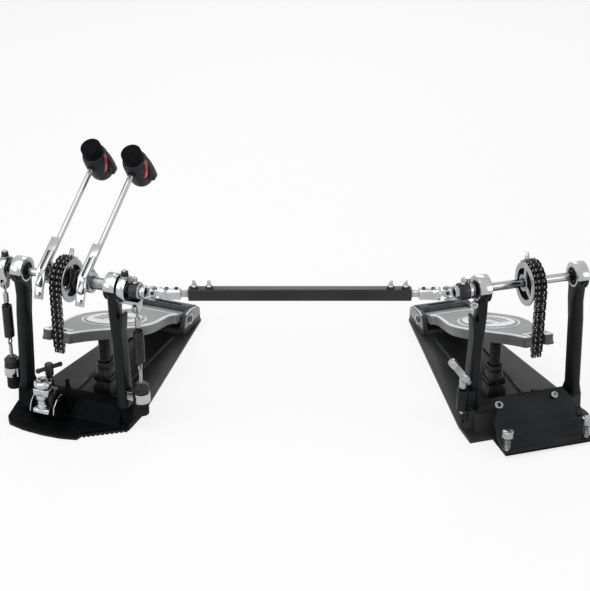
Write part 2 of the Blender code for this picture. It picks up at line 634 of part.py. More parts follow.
def chain_run(name, body, first, last, pins, bored=(), long_pin=None):
    """Links first..last of the double roller chain as one solid. Even links are the inner blocks of both
    strands and odd links are the plates; bored pins belong to a neighbouring run."""
    blocks, plates, rods = [], [], []
    for k in range(first, last + 1):
        start, end = Vector(chain_pin(k)), Vector(chain_pin(k + 1))
        along = (end - start).normalized()
        normal = Vector((-along.y, along.x))
        slim = [tuple(start + along * a + normal * b) for a, b in BLOCK_PROFILE]
        full = [tuple(start + along * a + normal * b) for a, b in PLATE_PROFILE]
        if k % 2 == 0:
            for sign in (-1, 1):
                blocks.append(prism("x", slim, *sorted((sign * BLOCK_IN, sign * BLOCK_OUT))))
        else:
            plates.append(prism("x", slim, -MIDDLE_HALF, MIDDLE_HALF))
            for low, high in ((-PLATE_OUT, -PLATE_IN), (PLATE_IN, PLATE_OUT)):
                plates.append(prism("x", full, low, high))
    for k in pins:
        y, z = chain_pin(k)
        reach = 0.011 if k == long_pin else PIN_HALF
        rods.append(rod((-reach, y, z), (reach, y, z), PIN_R, 4))
    cuts = []
    for k in bored:
        y, z = chain_pin(k)
        cuts.append(rod((-0.02, y, z), (0.02, y, z), around(PIN_R + RUN, 8), 8))
    piece(name, "chain_black", body, together(*blocks), add=[together(*plates), together(*rods)],
          cut=[together(*cuts)] if cuts else [])


def cam(name, body, side):
    """Wheel for the chain: its seat is relieved under the run that peels off, with a flange on the inner
    side, three windows and the block that holds the chain's end."""
    middle = (-CAM_OFFSET, SHAFT_Z)

    def at(radius, beta):
        a = math.radians(beta)
        return (middle[0] - radius * math.cos(a), middle[1] + radius * math.sin(a))

    leave = TURN * TURNING
    outline = []
    for i in range(30):
        beta = leave + 1.0 + i * 12.0
        relieved = beta % 360 > 270 or beta % 360 < leave
        outline.append(at(SEAT_R - (0.0022 if relieved else 0.0), beta))
    rim = prism("x", outline, *sorted((-side * 0.0080, side * 0.0088)))
    flange = prism("x", [at(0.0305, i * 15.0) for i in range(24)], *sorted((side * 0.0086, side * 0.0106)))
    windows = []
    for k in range(3):
        middle_beta = 30.0 + 120.0 * k
        sector = [at(0.0205, middle_beta + a) for a in range(-42, 43, 21)]
        sector += [at(0.0130, middle_beta + a) for a in range(36, -37, -24)]
        windows.append(prism("x", sector, -0.02, 0.02))
    bore = rod((-0.02, 0.0, SHAFT_Z), (0.02, 0.0, SHAFT_Z), around(SHAFT_R + GAP, 14), 14)
    beta = TURN * (WRAPPED + TURNING) + 17.5
    a = math.radians(beta)
    out, over = Vector((-math.cos(a), math.sin(a))), Vector((math.sin(a), math.cos(a)))
    centre = Vector(middle)
    corners = [centre + out * r + over * w for r, w in ((0.0235, -0.0045), (0.0335, -0.0040), (0.0335, 0.0040),
                                                         (0.0235, 0.0045))]
    seat = prism("x", [tuple(c) for c in corners], *sorted((-side * 0.0070, side * 0.0095)))
    low, high = centre + out * 0.032, centre + out * 0.0405
    bolt = turned((0.0, low.x, low.y), (0.0, high.x, high.y), [(0.0, 0.0035), (0.0085, 0.0030)], 4)
    piece(name, "steel", body, rim, add=[flange, seat, bolt], cut=[together(*windows), bore])


def beater_frame(x):
    """Matrix whose X is the pedal's, Y the strike direction and Z along the beater, from the shaft."""
    lean = math.radians(BEATER_LEAN)
    strike = Vector((0.0, -math.cos(lean), math.sin(lean)))
    up = Vector((0.0, math.sin(lean), math.cos(lean)))
    frame = Matrix((Vector((1.0, 0.0, 0.0)), strike, up)).transposed()
    return Matrix.Translation((x, 0.0, SHAFT_Z)) @ frame.to_4x4()


def beater_holder(name, body, x, turning_r):
    """Clamp on the shaft with a bent plate in front of the beater's foot."""
    frame = beater_frame(x)
    half = 0.0065
    hub = rod((-half, 0.0, 0.0), (half, 0.0, 0.0), turning_r + 0.0062, 12)
    saddle = block((-half, 0.004, -0.0105), (half, 0.0205, 0.0135))
    tail = math.radians(PLATE_TURN)
    bend = (0.0205, -0.006)
    end = (bend[0] - 0.040 * math.sin(tail), bend[1] - 0.040 * math.cos(tail))
    line = [(0.0205, 0.047), (0.0205, 0.045), bend, end]
    plate = prism("x", bent_sheet(line[::-1], 0.0030), -half, half)
    screw_at = Vector((0.0, end[0], end[1])) + Vector((0.0, math.sin(tail), math.cos(tail))) * 0.007
    across = Vector((0.0, math.cos(tail), -math.sin(tail)))
    screw = turned(screw_at - across * 0.002, screw_at + across * 0.0065, [(0.0, 0.0032), (0.0085, 0.0032)], 8)
    shaft_bore = rod((-0.02, 0.0, 0.0), (0.02, 0.0, 0.0), around(turning_r + GAP, 14), 14)
    beater_bore = rod((0.0, BEATER_AHEAD, -0.04), (0.0, BEATER_AHEAD, 0.03), around(BEATER_R + GAP, 12), 12)
    forms = [moved(m, frame) for m in (saddle, plate, screw)]
    cuts = [moved(m, frame) for m in (shaft_bore, beater_bore)]
    piece(name, "chrome", body, moved(hub, frame), add=forms, cut=cuts)


def beater_rod(name, body, x):
    frame = beater_frame(x)
    tip = BEATER_REACH + 0.013
    form = turned((0.0, BEATER_AHEAD, BEATER_FOOT), (0.0, BEATER_AHEAD, tip),
                  [(0.0, 0.0032), (0.001, BEATER_R), (tip - BEATER_FOOT - 0.001, BEATER_R),
                   (tip - BEATER_FOOT, 0.0032)], 12)
    piece(name, "chrome", body, moved(form, frame))


def beater_head(name, body, x):
    """Barrel with a felt-sized striking face, bored for its shaft."""
    frame = beater_frame(x)
    back = BEATER_AHEAD - 0.030
    form = turned((0.0, back, BEATER_REACH), (0.0, back + 1.0, BEATER_REACH),
                  [(0.0, 0.0120), (0.0035, 0.0165), (0.0180, 0.0193), (0.0340, 0.0198), (0.0420, 0.0182),
                   (0.0440, 0.0142), (0.0565, 0.0140), (0.0580, 0.0126)], 16)
    bore = rod((0.0, BEATER_AHEAD, BEATER_REACH - 0.04), (0.0, BEATER_AHEAD, BEATER_REACH + 0.0135),
               around(BEATER_R + GAP, 12), 12)
    fin = prism("x", [(back + 0.004, BEATER_REACH - 0.012), (back - 0.006, BEATER_REACH - 0.009),
                      (back - 0.006, BEATER_REACH + 0.009), (back + 0.004, BEATER_REACH + 0.012)],
                -0.0040, 0.0040)
    piece(name, "head_body", body, moved(form, frame), add=[moved(fin, frame)], cut=[moved(bore, frame)])


SOCKET = 0.0025              # how far the bore of the second sleeve runs into its collar


def main_shaft(body):
    start = LEFT_LEVER_X - 0.0105
    length = MAIN_REACH - YOKE_BASE - 0.0228 + SOCKET - 0.0015 - start
    ends = [(0.0, 0.0048), (0.001, SHAFT_R), (length - 0.001, SHAFT_R), (length, 0.0048)]
    piece("main_shaft", "chrome", body, turned((start, 0.0, SHAFT_Z), (1.0, 0.0, SHAFT_Z), ends, 16))


def spring_lever(name, body, x, spring_x, turning_r):
    """Clamp ring on the shaft with a forked arm; the hook hangs on the fork's pin."""
    pin_z = SHAFT_Z - LEVER_R
    ring_r = turning_r + 0.0095
    ring = rod((x - LEVER_HALF, 0.0, SHAFT_Z), (x + LEVER_HALF, 0.0, SHAFT_Z), ring_r, 14)
    low = min(x - LEVER_HALF, spring_x - FORK_HALF)
    high = max(x + LEVER_HALF, spring_x + FORK_HALF)
    arm = prism("x", [(-0.011, SHAFT_Z - 0.0125), (0.006, SHAFT_Z - 0.0125), (0.003, SHAFT_Z - 0.0185),
                      (-0.010, SHAFT_Z - 0.0185)], low, high)
    web = prism("x", [(-0.0125, SHAFT_Z - 0.008), (0.0105, SHAFT_Z - 0.008), (0.006, SHAFT_Z - 0.0140),
                      (-0.011, SHAFT_Z - 0.0140)], x - LEVER_HALF, x + LEVER_HALF)
    tongue = [(-0.0100, SHAFT_Z - 0.0180), (0.0030, SHAFT_Z - 0.0180), (0.0010, pin_z - 0.0020),
              (-0.0010, pin_z - 0.0045), (-0.0065, pin_z - 0.0045), (-0.0088, pin_z - 0.0020)]
    fork = prism("x", tongue, spring_x - FORK_HALF, spring_x + FORK_HALF)
    slot = block((spring_x - HOOK_HALF - 0.0006, -0.03, pin_z - 0.02),
                 (spring_x + HOOK_HALF + 0.0006, 0.03, pin_z + 0.0100))
    pin = rod((spring_x - FORK_HALF + 0.001, SPRING_Y, pin_z), (spring_x + FORK_HALF - 0.001, SPRING_Y, pin_z),
              HOOK_PIN_R, 8)
    bolt = turned((x, 0.0, SHAFT_Z + ring_r - 0.003), (x, 0.0, 1.0),
                  [(0.0, 0.0052), (0.0055, 0.0052), (0.0055, 0.0036), (0.0125, 0.0036)], 6)
    bore = rod((x - 0.02, 0.0, SHAFT_Z), (x + 0.02, 0.0, SHAFT_Z), around(turning_r + GAP, 14), 14)
    obj = piece(name, "chrome", body, ring, add=[web, arm, fork, bolt], cut=[slot, bore])
    helper(obj, body[0], body[1], pin, "UNION")


FORK_HALF = 0.0052
HOOK_HALF = 0.0019
HOOK_PIN_R = 0.0014
HOOK_EYE_HIGH, HOOK_EYE_WIDE, HOOK_RIM = 0.0043, 0.0038, 0.0017


def spring_hook(name, body, x):
    """Long eye on the lever's pin, over a swivel barrel that holds the spring's top."""
    z = SHAFT_Z - LEVER_R

    def loop(grow):
        return [(SPRING_Y + a, z + b) for a, b in
                chamfered(HOOK_EYE_WIDE + grow, HOOK_EYE_HIGH + grow, 0.0014 + grow * 0.7)]

    eye = prism("x", loop(HOOK_RIM), x - HOOK_HALF, x + HOOK_HALF)
    eye_hole = prism("x", loop(0.0), x - 0.01, x + 0.01)
    top = z - HOOK_EYE_HIGH - 0.0008
    length = top - SPRING_TOP - GAP
    barrel = turned((x, SPRING_Y, top), (x, SPRING_Y, 0.0),
                    [(0.0, 0.0018), (0.0070, 0.0018), (0.0085, 0.0040), (length - 0.004, 0.0040),
                     (length, 0.0022)], 10)
    piece(name, "steel", body, eye, add=[barrel], cut=[eye_hole])


def eye_rod(name, body, x):
    """Threaded rod with an eye on top and its nut below the bracket."""
    eye = rod((x - 0.0022, SPRING_Y, EYE_Z), (x + 0.0022, SPRING_Y, EYE_Z), EYE_R, 12)
    hole = rod((x - 0.01, SPRING_Y, EYE_Z), (x + 0.01, SPRING_Y, EYE_Z), 0.0027, 10)
    stem = rod((x, SPRING_Y, BRACKET_Z - 0.010), (x, SPRING_Y, EYE_Z - 0.004), ROD_R)
    nut = turned((x, SPRING_Y, 0.026), (x, SPRING_Y, 1.0),
                 [(0.0, 0.0080), (0.0015, NUT_R), (BRACKET_Z - GAP - 0.026, NUT_R)], 12)
    piece(name, "steel", body, eye, add=[stem, nut], cut=[hole])


ROD_R = 0.0028


def tension_knob(name, body, x):
    low = BRACKET_Z + BRACKET_HEIGHT + GAP
    form = turned((x, SPRING_Y, low), (x, SPRING_Y, 1.0),
                  [(0.0, 0.0098), (0.0010, KNOB_R), (0.0110, KNOB_R), (0.0125, 0.0098), (0.0150, 0.0072)], 12)
    bore = rod((x, SPRING_Y, 0.0), (x, SPRING_Y, 0.2), around(ROD_R + RUN, 12), 12)
    piece(name, "plastic", body, form, cut=[bore])


def spring_bracket(name, body, x):
    """Collar that holds the tension rod beside the post."""
    sign = 1 if x > 0 else -1
    ring = rod((x, SPRING_Y, BRACKET_Z), (x, SPRING_Y, BRACKET_Z + BRACKET_HEIGHT), 0.0122, 18)
    near = sign * (POST_FOOT + POST_WIDTH / 2 + 0.0004)
    arm = block((min(near, x), -0.0105, BRACKET_Z + 0.0005),
                (max(near, x), 0.0075, BRACKET_Z + BRACKET_HEIGHT - 0.0005))
    bore = rod((x, SPRING_Y, 0.0), (x, SPRING_Y, 0.2), around(ROD_R + GAP, 12), 12)
    piece(name, "chrome", body, ring, add=[arm], cut=[bore])


YOKE_BASE = 0.0092           # joint centre to the bottom of a fork


def yoke_forms(centre, axis, pin_axis, base_length, base_radius):
    """Base, arms and pin hole of a fork whose axis points at the joint's centre."""
    axis, pin_axis = Vector(axis).normalized(), Vector(pin_axis).normalized()
    frame = Matrix((axis, pin_axis.cross(axis), pin_axis)).transposed().to_4x4()
    frame = Matrix.Translation(Vector(centre)) @ frame
    base = turned((-YOKE_BASE - base_length, 0.0, 0.0), (0.0, 0.0, 0.0),
                  [(0.0, base_radius), (0.0015, YOKE_R), (base_length, YOKE_R)], 12)
    arm = [(-YOKE_BASE - 0.002, -0.0038), (0.0018, -0.0038), (0.0042, -0.0018), (0.0042, 0.0018),
           (0.0018, 0.0038), (-YOKE_BASE - 0.002, 0.0038)]
    arms = together(prism("z", arm, 0.0056, 0.0086), prism("z", arm, -0.0086, -0.0056))
    hole = rod((0.0, 0.0, -0.02), (0.0, 0.0, 0.02), around(YOKE_PIN_R + RUN, 8), 8)
    return [moved(m, frame) for m in (base, arms, hole)]


def joint_cross(name, body, centre, first, second):
    """Block with four pins, one pair for each fork."""
    first, second = Vector(first).normalized(), Vector(second).normalized()
    frame = Matrix((first.cross(second), first, second)).transposed().to_4x4()
    frame = Matrix.Translation(Vector(centre)) @ frame
    half, reach = 0.0044, 0.0084
    forms = [block((-half, -half, -half), (half, half, half)),
             rod((0.0, -reach, 0.0), (0.0, reach, 0.0), YOKE_PIN_R, 10),
             rod((0.0, 0.0, -reach), (0.0, 0.0, reach), YOKE_PIN_R, 10)]
    forms = [moved(m, frame) for m in forms]
    piece(name, "steel", body, forms[0], add=forms[1:])


def second_sleeve(body, pin_axis):
    """Tube that turns round the main shaft, with a flange, a keyed collar and the fork at its end."""
    start, fork, neck = 0.0145, MAIN_REACH - YOKE_BASE, 0.0088
    collar_at = fork - 0.0228
    tube = turned((start, 0.0, SHAFT_Z), (1.0, 0.0, SHAFT_Z),
                  [(0.0, 0.0125), (0.004, 0.0135), (0.004, SLEEVE_R), (collar_at + 0.0005 - start, SLEEVE_R)], 14)
    collar = turned((collar_at, 0.0, SHAFT_Z), (1.0, 0.0, SHAFT_Z),
                    [(0.0, 0.0105), (0.001, 0.0115), (0.0125, 0.0115), (0.0145, 0.0100)], 14)
    bolt_x = collar_at + 0.0070
    bolt = turned((bolt_x, 0.0, SHAFT_Z + 0.010), (bolt_x, 0.0, 1.0), [(0.0, 0.0032), (0.0085, 0.0032)], 4)
    base, arms, hole = yoke_forms((MAIN_REACH, 0.0, SHAFT_Z), (1.0, 0.0, 0.0), pin_axis, neck, 0.0085)
    bore = rod((0.010, 0.0, SHAFT_Z), (collar_at + SOCKET, 0.0, SHAFT_Z), around(SHAFT_R + RUN, 14), 14)
    piece("second_sleeve", "steel", body, tube, add=[collar, base, arms, bolt], cut=[bore, hole])


def slave_shaft(body, pin_axis):
    """Shaft of the slave pedal, with its keyed collar and fork."""
    start, fork, neck = POST_HEAD + 0.014, SLAVE_REACH - YOKE_BASE, 0.0128
    length = start + fork - neck + 0.006
    bar = turned((start, 0.0, SHAFT_Z), (-1.0, 0.0, SHAFT_Z),
                 [(0.0, 0.0048), (0.001, SHAFT_R), (length, SHAFT_R)], 16)
    collar_at = fork - 0.0293
    collar = turned((-collar_at, 0.0, SHAFT_Z), (-1.0, 0.0, SHAFT_Z),
                    [(0.0, 0.0105), (0.001, 0.0115), (0.0150, 0.0115), (0.0170, 0.0095)], 14)
    bolt_x = -collar_at - 0.0085
    bolt = turned((bolt_x, 0.0, SHAFT_Z + 0.010), (bolt_x, 0.0, 1.0), [(0.0, 0.0032), (0.0085, 0.0032)], 4)
    base, arms, hole = yoke_forms((-SLAVE_REACH, 0.0, SHAFT_Z), (-1.0, 0.0, 0.0), pin_axis, neck, 0.0085)
    piece("slave_shaft", "chrome", body, bar, add=[collar, base, arms, bolt], cut=[hole])


def link_rod(name, body, centre, toward, pin_axis):
    """Rod in the end of the drive tube, with the fork of one universal joint."""
    base, arms, hole = yoke_forms(centre, (toward, 0.0, 0.0), pin_axis, 0.012, 0.0075)
    start = Vector(centre) - Vector((toward, 0.0, 0.0)) * (YOKE_BASE + 0.010)
    end = Vector(centre) - Vector((toward, 0.0, 0.0)) * (TUBE_START + 0.045)
    clamp = rod(Vector(centre) - Vector((toward * 0.0330, 0.0, 0.0)), Vector(centre) - Vector((toward * 0.0230, 0.0, 0.0)),
                0.0078, 10)
    piece(name, "chrome", body, rod(start, end, LINK_ROD_R, 12), add=[base, arms, clamp], cut=[hole])


def link_tube(body, start):
    """Square drive tube with rounded corners, open at both ends, and four key bolts on top."""
    x0, x1 = start.x + TUBE_START, start.x + TUBE_START + TUBE_LENGTH
    outline = [(start.y + a, start.z + b) for a, b in chamfered(TUBE_WIDTH / 2, TUBE_HEIGHT / 2, 0.0025)]
    bosses, bolts = [], []
    for x in (x0 + 0.008, x0 + 0.028, x1 - 0.028, x1 - 0.008):
        bosses.append(rod((x, start.y, start.z + 0.0070), (x, start.y, start.z + TUBE_HEIGHT / 2 + 0.003), 0.0050, 10))
        bolts.append(rod((x, start.y, start.z + 0.0100), (x, start.y, start.z + TUBE_HEIGHT / 2 + 0.0095), 0.0036, 4))
    bore = rod((x0 - 0.01, start.y, start.z), (x1 + 0.01, start.y, start.z), around(LINK_ROD_R + GAP, 12), 12)
    piece("link_tube", "black_casting", body, prism("x", outline, x0, x1), add=[together(*bosses), together(*bolts)],
          cut=[bore])


def pedal(prefix, frame, side, root):
    """What both pedals have alike; returns the carrier of the parts that swing with the shaft."""
    axis = (0.0, 0.0, SHAFT_Z)
    rocker = (empty(f"{prefix}_rocker", frame, axis), axis)
    bend_pin, hang_pin = chain_pin(WRAPPED), chain_pin(WRAPPED + TURNING)
    bend, hang = (0.0, *bend_pin), (0.0, *hang_pin)
    transfer = (empty(f"{prefix}_transfer", frame, bend), bend)
    drop = (empty(f"{prefix}_drop", frame, hang), hang)
    hinge = (0.0, HINGE_Y, HINGE_Z)
    board = (empty(f"{prefix}_board", frame, hinge), hinge)
    heel_block(f"{prefix}_heel_block", root)
    coil_base(f"{prefix}_coil_base", root, side)
    wire(f"{prefix}_coil", "plastic", root, (side * COIL_X, COIL_Y), COIL_FOOT, COIL_TOP, COIL_R, COIL_R,
         COIL_WIRE_R, COIL_TURNS, 0.0018)
    footboard(f"{prefix}_footboard", board, side)
    cam(f"{prefix}_cam", rocker, side)
    wound = WRAPPED + TURNING
    last = wound + HANGING
    chain_run(f"{prefix}_chain_wrap", rocker, 0, WRAPPED - 1, range(0, WRAPPED + 1))
    chain_run(f"{prefix}_chain_transfer", transfer, WRAPPED, wound - 1, range(WRAPPED + 1, wound),
              bored=(WRAPPED, wound))
    chain_run(f"{prefix}_chain_drop", drop, wound, last - 1, range(wound, last + 1), long_pin=wound + PEDAL_PIN)
    return rocker


def tension_side(prefix, frame, root, rocker, lever_x, x, turning_r):
    """Lever, hook, spring, eye rod, knob and bracket of one tension spring."""
    eye = (x, SPRING_Y, EYE_Z)
    spring_lever(f"{prefix}_spring_lever", rocker, lever_x, x, turning_r)
    swivel = (empty(f"{prefix}_swivel", frame, eye), eye)
    wire(f"{prefix}_spring", "black_casting", swivel, (x, SPRING_Y), EYE_Z + EYE_R + GAP, SPRING_TOP, SPRING_R,
         0.0, WIRE_R, SPRING_TURNS, 0.0032)
    spring_hook(f"{prefix}_spring_hook", (empty(f"{prefix}_stretch", frame, eye), eye), x)
    eye_rod(f"{prefix}_eye_rod", root, x)
    low = (x, SPRING_Y, BRACKET_Z)
    tension_knob(f"{prefix}_tension_knob", (empty(f"{prefix}_knob", frame, low), low), x)
    spring_bracket(f"{prefix}_spring_bracket", root, x)


def beater(prefix, rocker, x, turning_r):
    beater_holder(f"{prefix}_beater_holder", rocker, x, turning_r)
    beater_rod(f"{prefix}_beater_rod", rocker, x)
    beater_head(f"{prefix}_beater_head", rocker, x)


def turn_of(degrees):
    """(y, z) of an upright direction turned about +X."""
    a = math.radians(degrees)
    return (0.0, -math.sin(a), math.cos(a))


def main():
    clear_scene()
    origin = (0.0, 0.0, 0.0)
    a, b = math.radians(MAIN_YAW), math.radians(SLAVE_YAW)
    main_frame = empty("main_frame", None, origin, -MAIN_YAW)
    joint = Vector((MAIN_REACH * math.cos(a), -MAIN_REACH * math.sin(a), SHAFT_Z))
    far_joint = joint + Vector((LINK_LENGTH, 0.0, 0.0))
    slave_at = (far_joint.x + SLAVE_REACH * math.cos(b), far_joint.y + SLAVE_REACH * math.sin(b), 0.0)
    slave_frame = empty("slave_frame", None, slave_at, SLAVE_YAW)
    root, slave_root = (main_frame, origin), (slave_frame, origin)

    main_base(root)
    main_sole(root)
    main_casting(root)
    post("main_outer_post", root, -POST_FOOT, -POST_HEAD, False)
    post("main_inner_post", root, POST_FOOT, POST_HEAD, True)
    bearing_cap("main_outer_cap", root, -POST_HEAD, SHAFT_R)
    bearing_cap("main_inner_cap", root, POST_HEAD, SLEEVE_R)
    jaw_at = (CLAMP_X, *JAW_PIN)
    clamp_jaw((empty("jaw_pin", main_frame, jaw_at), jaw_at))
    bolt_at = (CLAMP_X, T_BOLT_Y, TOE_TOP)
    clamp_t_bolt((empty("t_bolt", main_frame, bolt_at), bolt_at))
    rocker = pedal("main", main_frame, 1, root)
    main_shaft(rocker)
    beater("main", rocker, MAIN_BEATER_X, SHAFT_R)
    tension_side("left", main_frame, root, rocker, LEFT_LEVER_X, LEFT_SPRING_X, SHAFT_R)

    slave_rest = -STROKE / 2
    link_rest = math.degrees(math.atan(math.cos(b) * math.tan(math.radians(slave_rest))))
    second_rest = math.degrees(math.atan(math.tan(math.radians(link_rest)) / math.cos(a)))
    axis = (0.0, 0.0, SHAFT_Z)
    second = (empty("second_rocker", main_frame, axis), axis)
    second_sleeve(second, turn_of(second_rest))
    beater("second", second, SECOND_BEATER_X, SLEEVE_R)
    tension_side("right", main_frame, root, second, RIGHT_LEVER_X, RIGHT_SPRING_X, SLEEVE_R)

    slave_base(slave_root)
    slave_front(slave_root)
    post("slave_outer_post", slave_root, POST_FOOT, POST_HEAD, False)
    post("slave_inner_post", slave_root, -POST_FOOT, -POST_HEAD, True, key_and_holster())
    holster_hole = rod((-KEY_X, KEY_Y, 0.0), (-KEY_X, KEY_Y, 0.2), around(0.0056, 12), 12)
    helper(bpy.data.objects["slave_inner_post"], slave_frame, origin, holster_hole, "DIFFERENCE")
    bearing_cap("slave_outer_cap", slave_root, POST_HEAD, SHAFT_R)
    bearing_cap("slave_inner_cap", slave_root, -POST_HEAD, SHAFT_R)
    slave_rocker = pedal("slave", slave_frame, -1, slave_root)
    slave_shaft(slave_rocker, turn_of(slave_rest))
    for name, x in (("left_spur", -SPUR_X), ("right_spur", SPUR_X)):
        spot = (x, SPUR_Y, 0.0)
        spur(name, (empty(f"{name}_slide", slave_frame, spot), spot), x)
    key_at = (-KEY_X, KEY_Y, 0.040)
    key((empty("key_slide", slave_frame, key_at), key_at))

    link = (empty("link", None, joint), tuple(joint))
    link_pin = (0.0, math.cos(math.radians(link_rest)), math.sin(math.radians(link_rest)))
    link_tube(link, joint)
    link_rod("link_rod_main", link, joint, -1.0, link_pin)
    link_rod("link_rod_slave", link, far_joint, 1.0, link_pin)
    main_turn = Matrix.Rotation(-a, 3, "Z")
    slave_turn = Matrix.Rotation(b, 3, "Z")
    joint_cross("cross_main", (empty("cross_main_at", None, joint), tuple(joint)), joint, link_pin,
                main_turn @ Vector(turn_of(second_rest)))
    joint_cross("cross_slave", (empty("cross_slave_at", None, far_joint), tuple(far_joint)), far_joint, link_pin,
                slave_turn @ Vector(turn_of(slave_rest)))


if __name__ == "__main__":
    main()
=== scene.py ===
import json
import math

import bmesh
import bpy
import numpy as np
from bpy.props import FloatProperty, FloatVectorProperty, IntProperty, PointerProperty
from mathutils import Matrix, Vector


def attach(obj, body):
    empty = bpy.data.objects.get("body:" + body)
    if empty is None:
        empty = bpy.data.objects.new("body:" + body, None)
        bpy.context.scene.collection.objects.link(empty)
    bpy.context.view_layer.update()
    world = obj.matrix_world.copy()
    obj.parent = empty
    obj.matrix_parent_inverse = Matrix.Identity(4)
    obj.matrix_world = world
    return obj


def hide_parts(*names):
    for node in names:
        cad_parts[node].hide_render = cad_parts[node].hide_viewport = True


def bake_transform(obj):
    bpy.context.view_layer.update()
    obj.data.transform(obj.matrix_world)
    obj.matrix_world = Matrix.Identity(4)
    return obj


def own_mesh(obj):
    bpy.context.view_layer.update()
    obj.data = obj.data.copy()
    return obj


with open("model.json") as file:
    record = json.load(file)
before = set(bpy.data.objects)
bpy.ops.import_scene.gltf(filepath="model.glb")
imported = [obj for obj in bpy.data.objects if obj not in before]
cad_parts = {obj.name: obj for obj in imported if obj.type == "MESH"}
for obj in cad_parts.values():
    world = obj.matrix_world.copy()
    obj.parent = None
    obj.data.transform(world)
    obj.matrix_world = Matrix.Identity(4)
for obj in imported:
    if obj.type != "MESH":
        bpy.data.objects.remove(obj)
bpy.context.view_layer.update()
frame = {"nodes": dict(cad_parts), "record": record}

bl_info = {
    "name": "Double Pedal Dressing",
    "version": (1, 0, 0),
    "blender": (4, 5, 0),
    "location": "3D View > Sidebar > Double Pedal",
    "description": "Finishes and detailed pieces for a double bass drum pedal",
    "category": "Object",
}

BODY_NODES = frame["record"]["behaviour"]["bodies"]
JOINTS = frame["record"]["behaviour"]["joints"]

# Forms are worked out in millimetres, and made() turns them into metres.
MM = 0.001
ALONG, BACK, UP = (1, 0, 0), (0, 1, 0), (0, 0, 1)

# The standing frames of the two pedals: X along the shaft, Y toward the heel.
MAIN_YAW = -21.5
SLAVE_YAW = 17.0
SLAVE_AT = (633.623, -11.976)
SHAFT_Z = 217.0
LINK_FROM, LINK_TO = 120.9538, 516.9538
LINK_Y = -47.6452

CAM_BACK = 4.0
CHAIN_PITCH = 8.0
CHAIN_R = 31.0
PLATE_WAIST = 0.7
LINK_STEP = 2.0 * math.asin(CHAIN_PITCH / 2 / CHAIN_R)
WOUND = 7
BOARD_PIN_K = 16
# Each run of a chain: its name, its body's name, its links and the pins that it carries.
RUNS = (("wrap", "rocker", (0, 4), (0, 5)), ("transfer", "turning_chain", (4, 7), (5, 7)),
        ("drop", "hanging_chain", (7, 19), (7, 20)))

HINGE_Y, HINGE_Z = 279.0, 27.0
COIL_X, COIL_Y, COIL_FOOT = 18.0, 56.0, 62.0
INLAY_Y, RIB_STEP = -168.0, 13.8
BEATER_LEAN = math.radians(57.0)
BEATER_AHEAD = 14.0
BEATER_REACH = 191.0
BEATERS = (("main", -30.0, "main_rocker"), ("second", 34.0, "second_rocker"))
SPRING_Y = -4.0
SPRING_ENDS = (106.8, 160.0)
KEY_HALF = 2.5


def yawed(degrees, at=(0.0, 0.0)):
    """A 4x4 matrix that turns about Z and then moves in X and Y."""
    c, s = math.cos(math.radians(degrees)), math.sin(math.radians(degrees))
    return np.array([[c, -s, 0, at[0]], [s, c, 0, at[1]], [0, 0, 1, 0], [0, 0, 0, 1]], float)


def tilted(angle, y, z):
    """A 4x4 matrix that turns about X and then moves in Y and Z."""
    c, s = math.cos(angle), math.sin(angle)
    return np.array([[1, 0, 0, 0], [0, c, -s, y], [0, s, c, z], [0, 0, 0, 1]], float)


WORLD = np.eye(4)
MAIN, SLAVE = yawed(MAIN_YAW), yawed(SLAVE_YAW, SLAVE_AT)
PEDALS = {"main": MAIN, "slave": SLAVE}


# Forms: each is (points, faces) and closed.

def placed(form, matrix):
    """The form with its points turned and moved by a 4x4 matrix."""
    points, faces = form
    return outward((points @ matrix[:3, :3].T + matrix[:3, 3], faces))


def outward(form):
    """The same form with its faces outward: the sum of the signed wedges under all faces must be positive."""
    points, faces = form
    total = 0.0
    for face in faces:
        corners = points[list(face)]
        total += float(np.sum(np.cross(corners[1:-1], corners[2:]) @ corners[0]))
    if total < 0:
        faces = [tuple(face)[::-1] for face in faces]
    return points, faces


def joined(forms):
    """Several forms in one list of points and faces."""
    points, faces, base = [], [], 0
    for p, f in forms:
        points.append(p)
        faces += [tuple(i + base for i in face) for face in f]
        base += len(p)
    return np.concatenate(points), faces


def skin(rings, looped=False):
    """Rings (rows, columns, 3) of a closed section, joined row to row, with flat ends unless looped."""
    rings = np.asarray(rings, float)
    rows, columns = rings.shape[:2]
    i, j = np.meshgrid(np.arange(rows if looped else rows - 1), np.arange(columns), indexing="ij")
    after, beside = (i + 1) % rows, (j + 1) % columns
    row, under = i * columns, after * columns
    quads = np.stack([row + j, row + beside, under + beside, under + j], -1)
    faces = [tuple(q) for q in quads.reshape(-1, 4).tolist()]
    if not looped:
        faces.append(tuple(range(columns - 1, -1, -1)))
        faces.append(tuple(range((rows - 1) * columns, rows * columns)))
    return outward((rings.reshape(-1, 3), faces))


def turn(sides):
    """Angles once round."""
    return np.linspace(0, 2 * math.pi, sides, endpoint=False)


def rect(x0, y0, x1, y1):
    """The corners of a rectangle, in order round it."""
    return [(x0, y0), (x1, y0), (x1, y1), (x0, y1)]


def eased(profile, radius, steps=3):
    """Each inner corner of an open line becomes a short curve: points of the parabola between two spots that
    lie radius before and after the corner."""
    profile = np.asarray(profile, float)
    out = [profile[0]]
    for before, corner, after in zip(profile[:-2], profile[1:-1], profile[2:]):
        back, on = before - corner, after - corner
        back_length, on_length = np.linalg.norm(back), np.linalg.norm(on)
        reach = min(radius, back_length * 0.49, on_length * 0.49)
        a = corner + back / max(back_length, 1e-6) * reach
        b = corner + on / max(on_length, 1e-6) * reach
        for t in np.linspace(0, 1, steps + 1):
            out.append(a * (1 - t) ** 2 + 2 * corner * t * (1 - t) + b * t * t)
    out.append(profile[-1])
    return np.array(out)


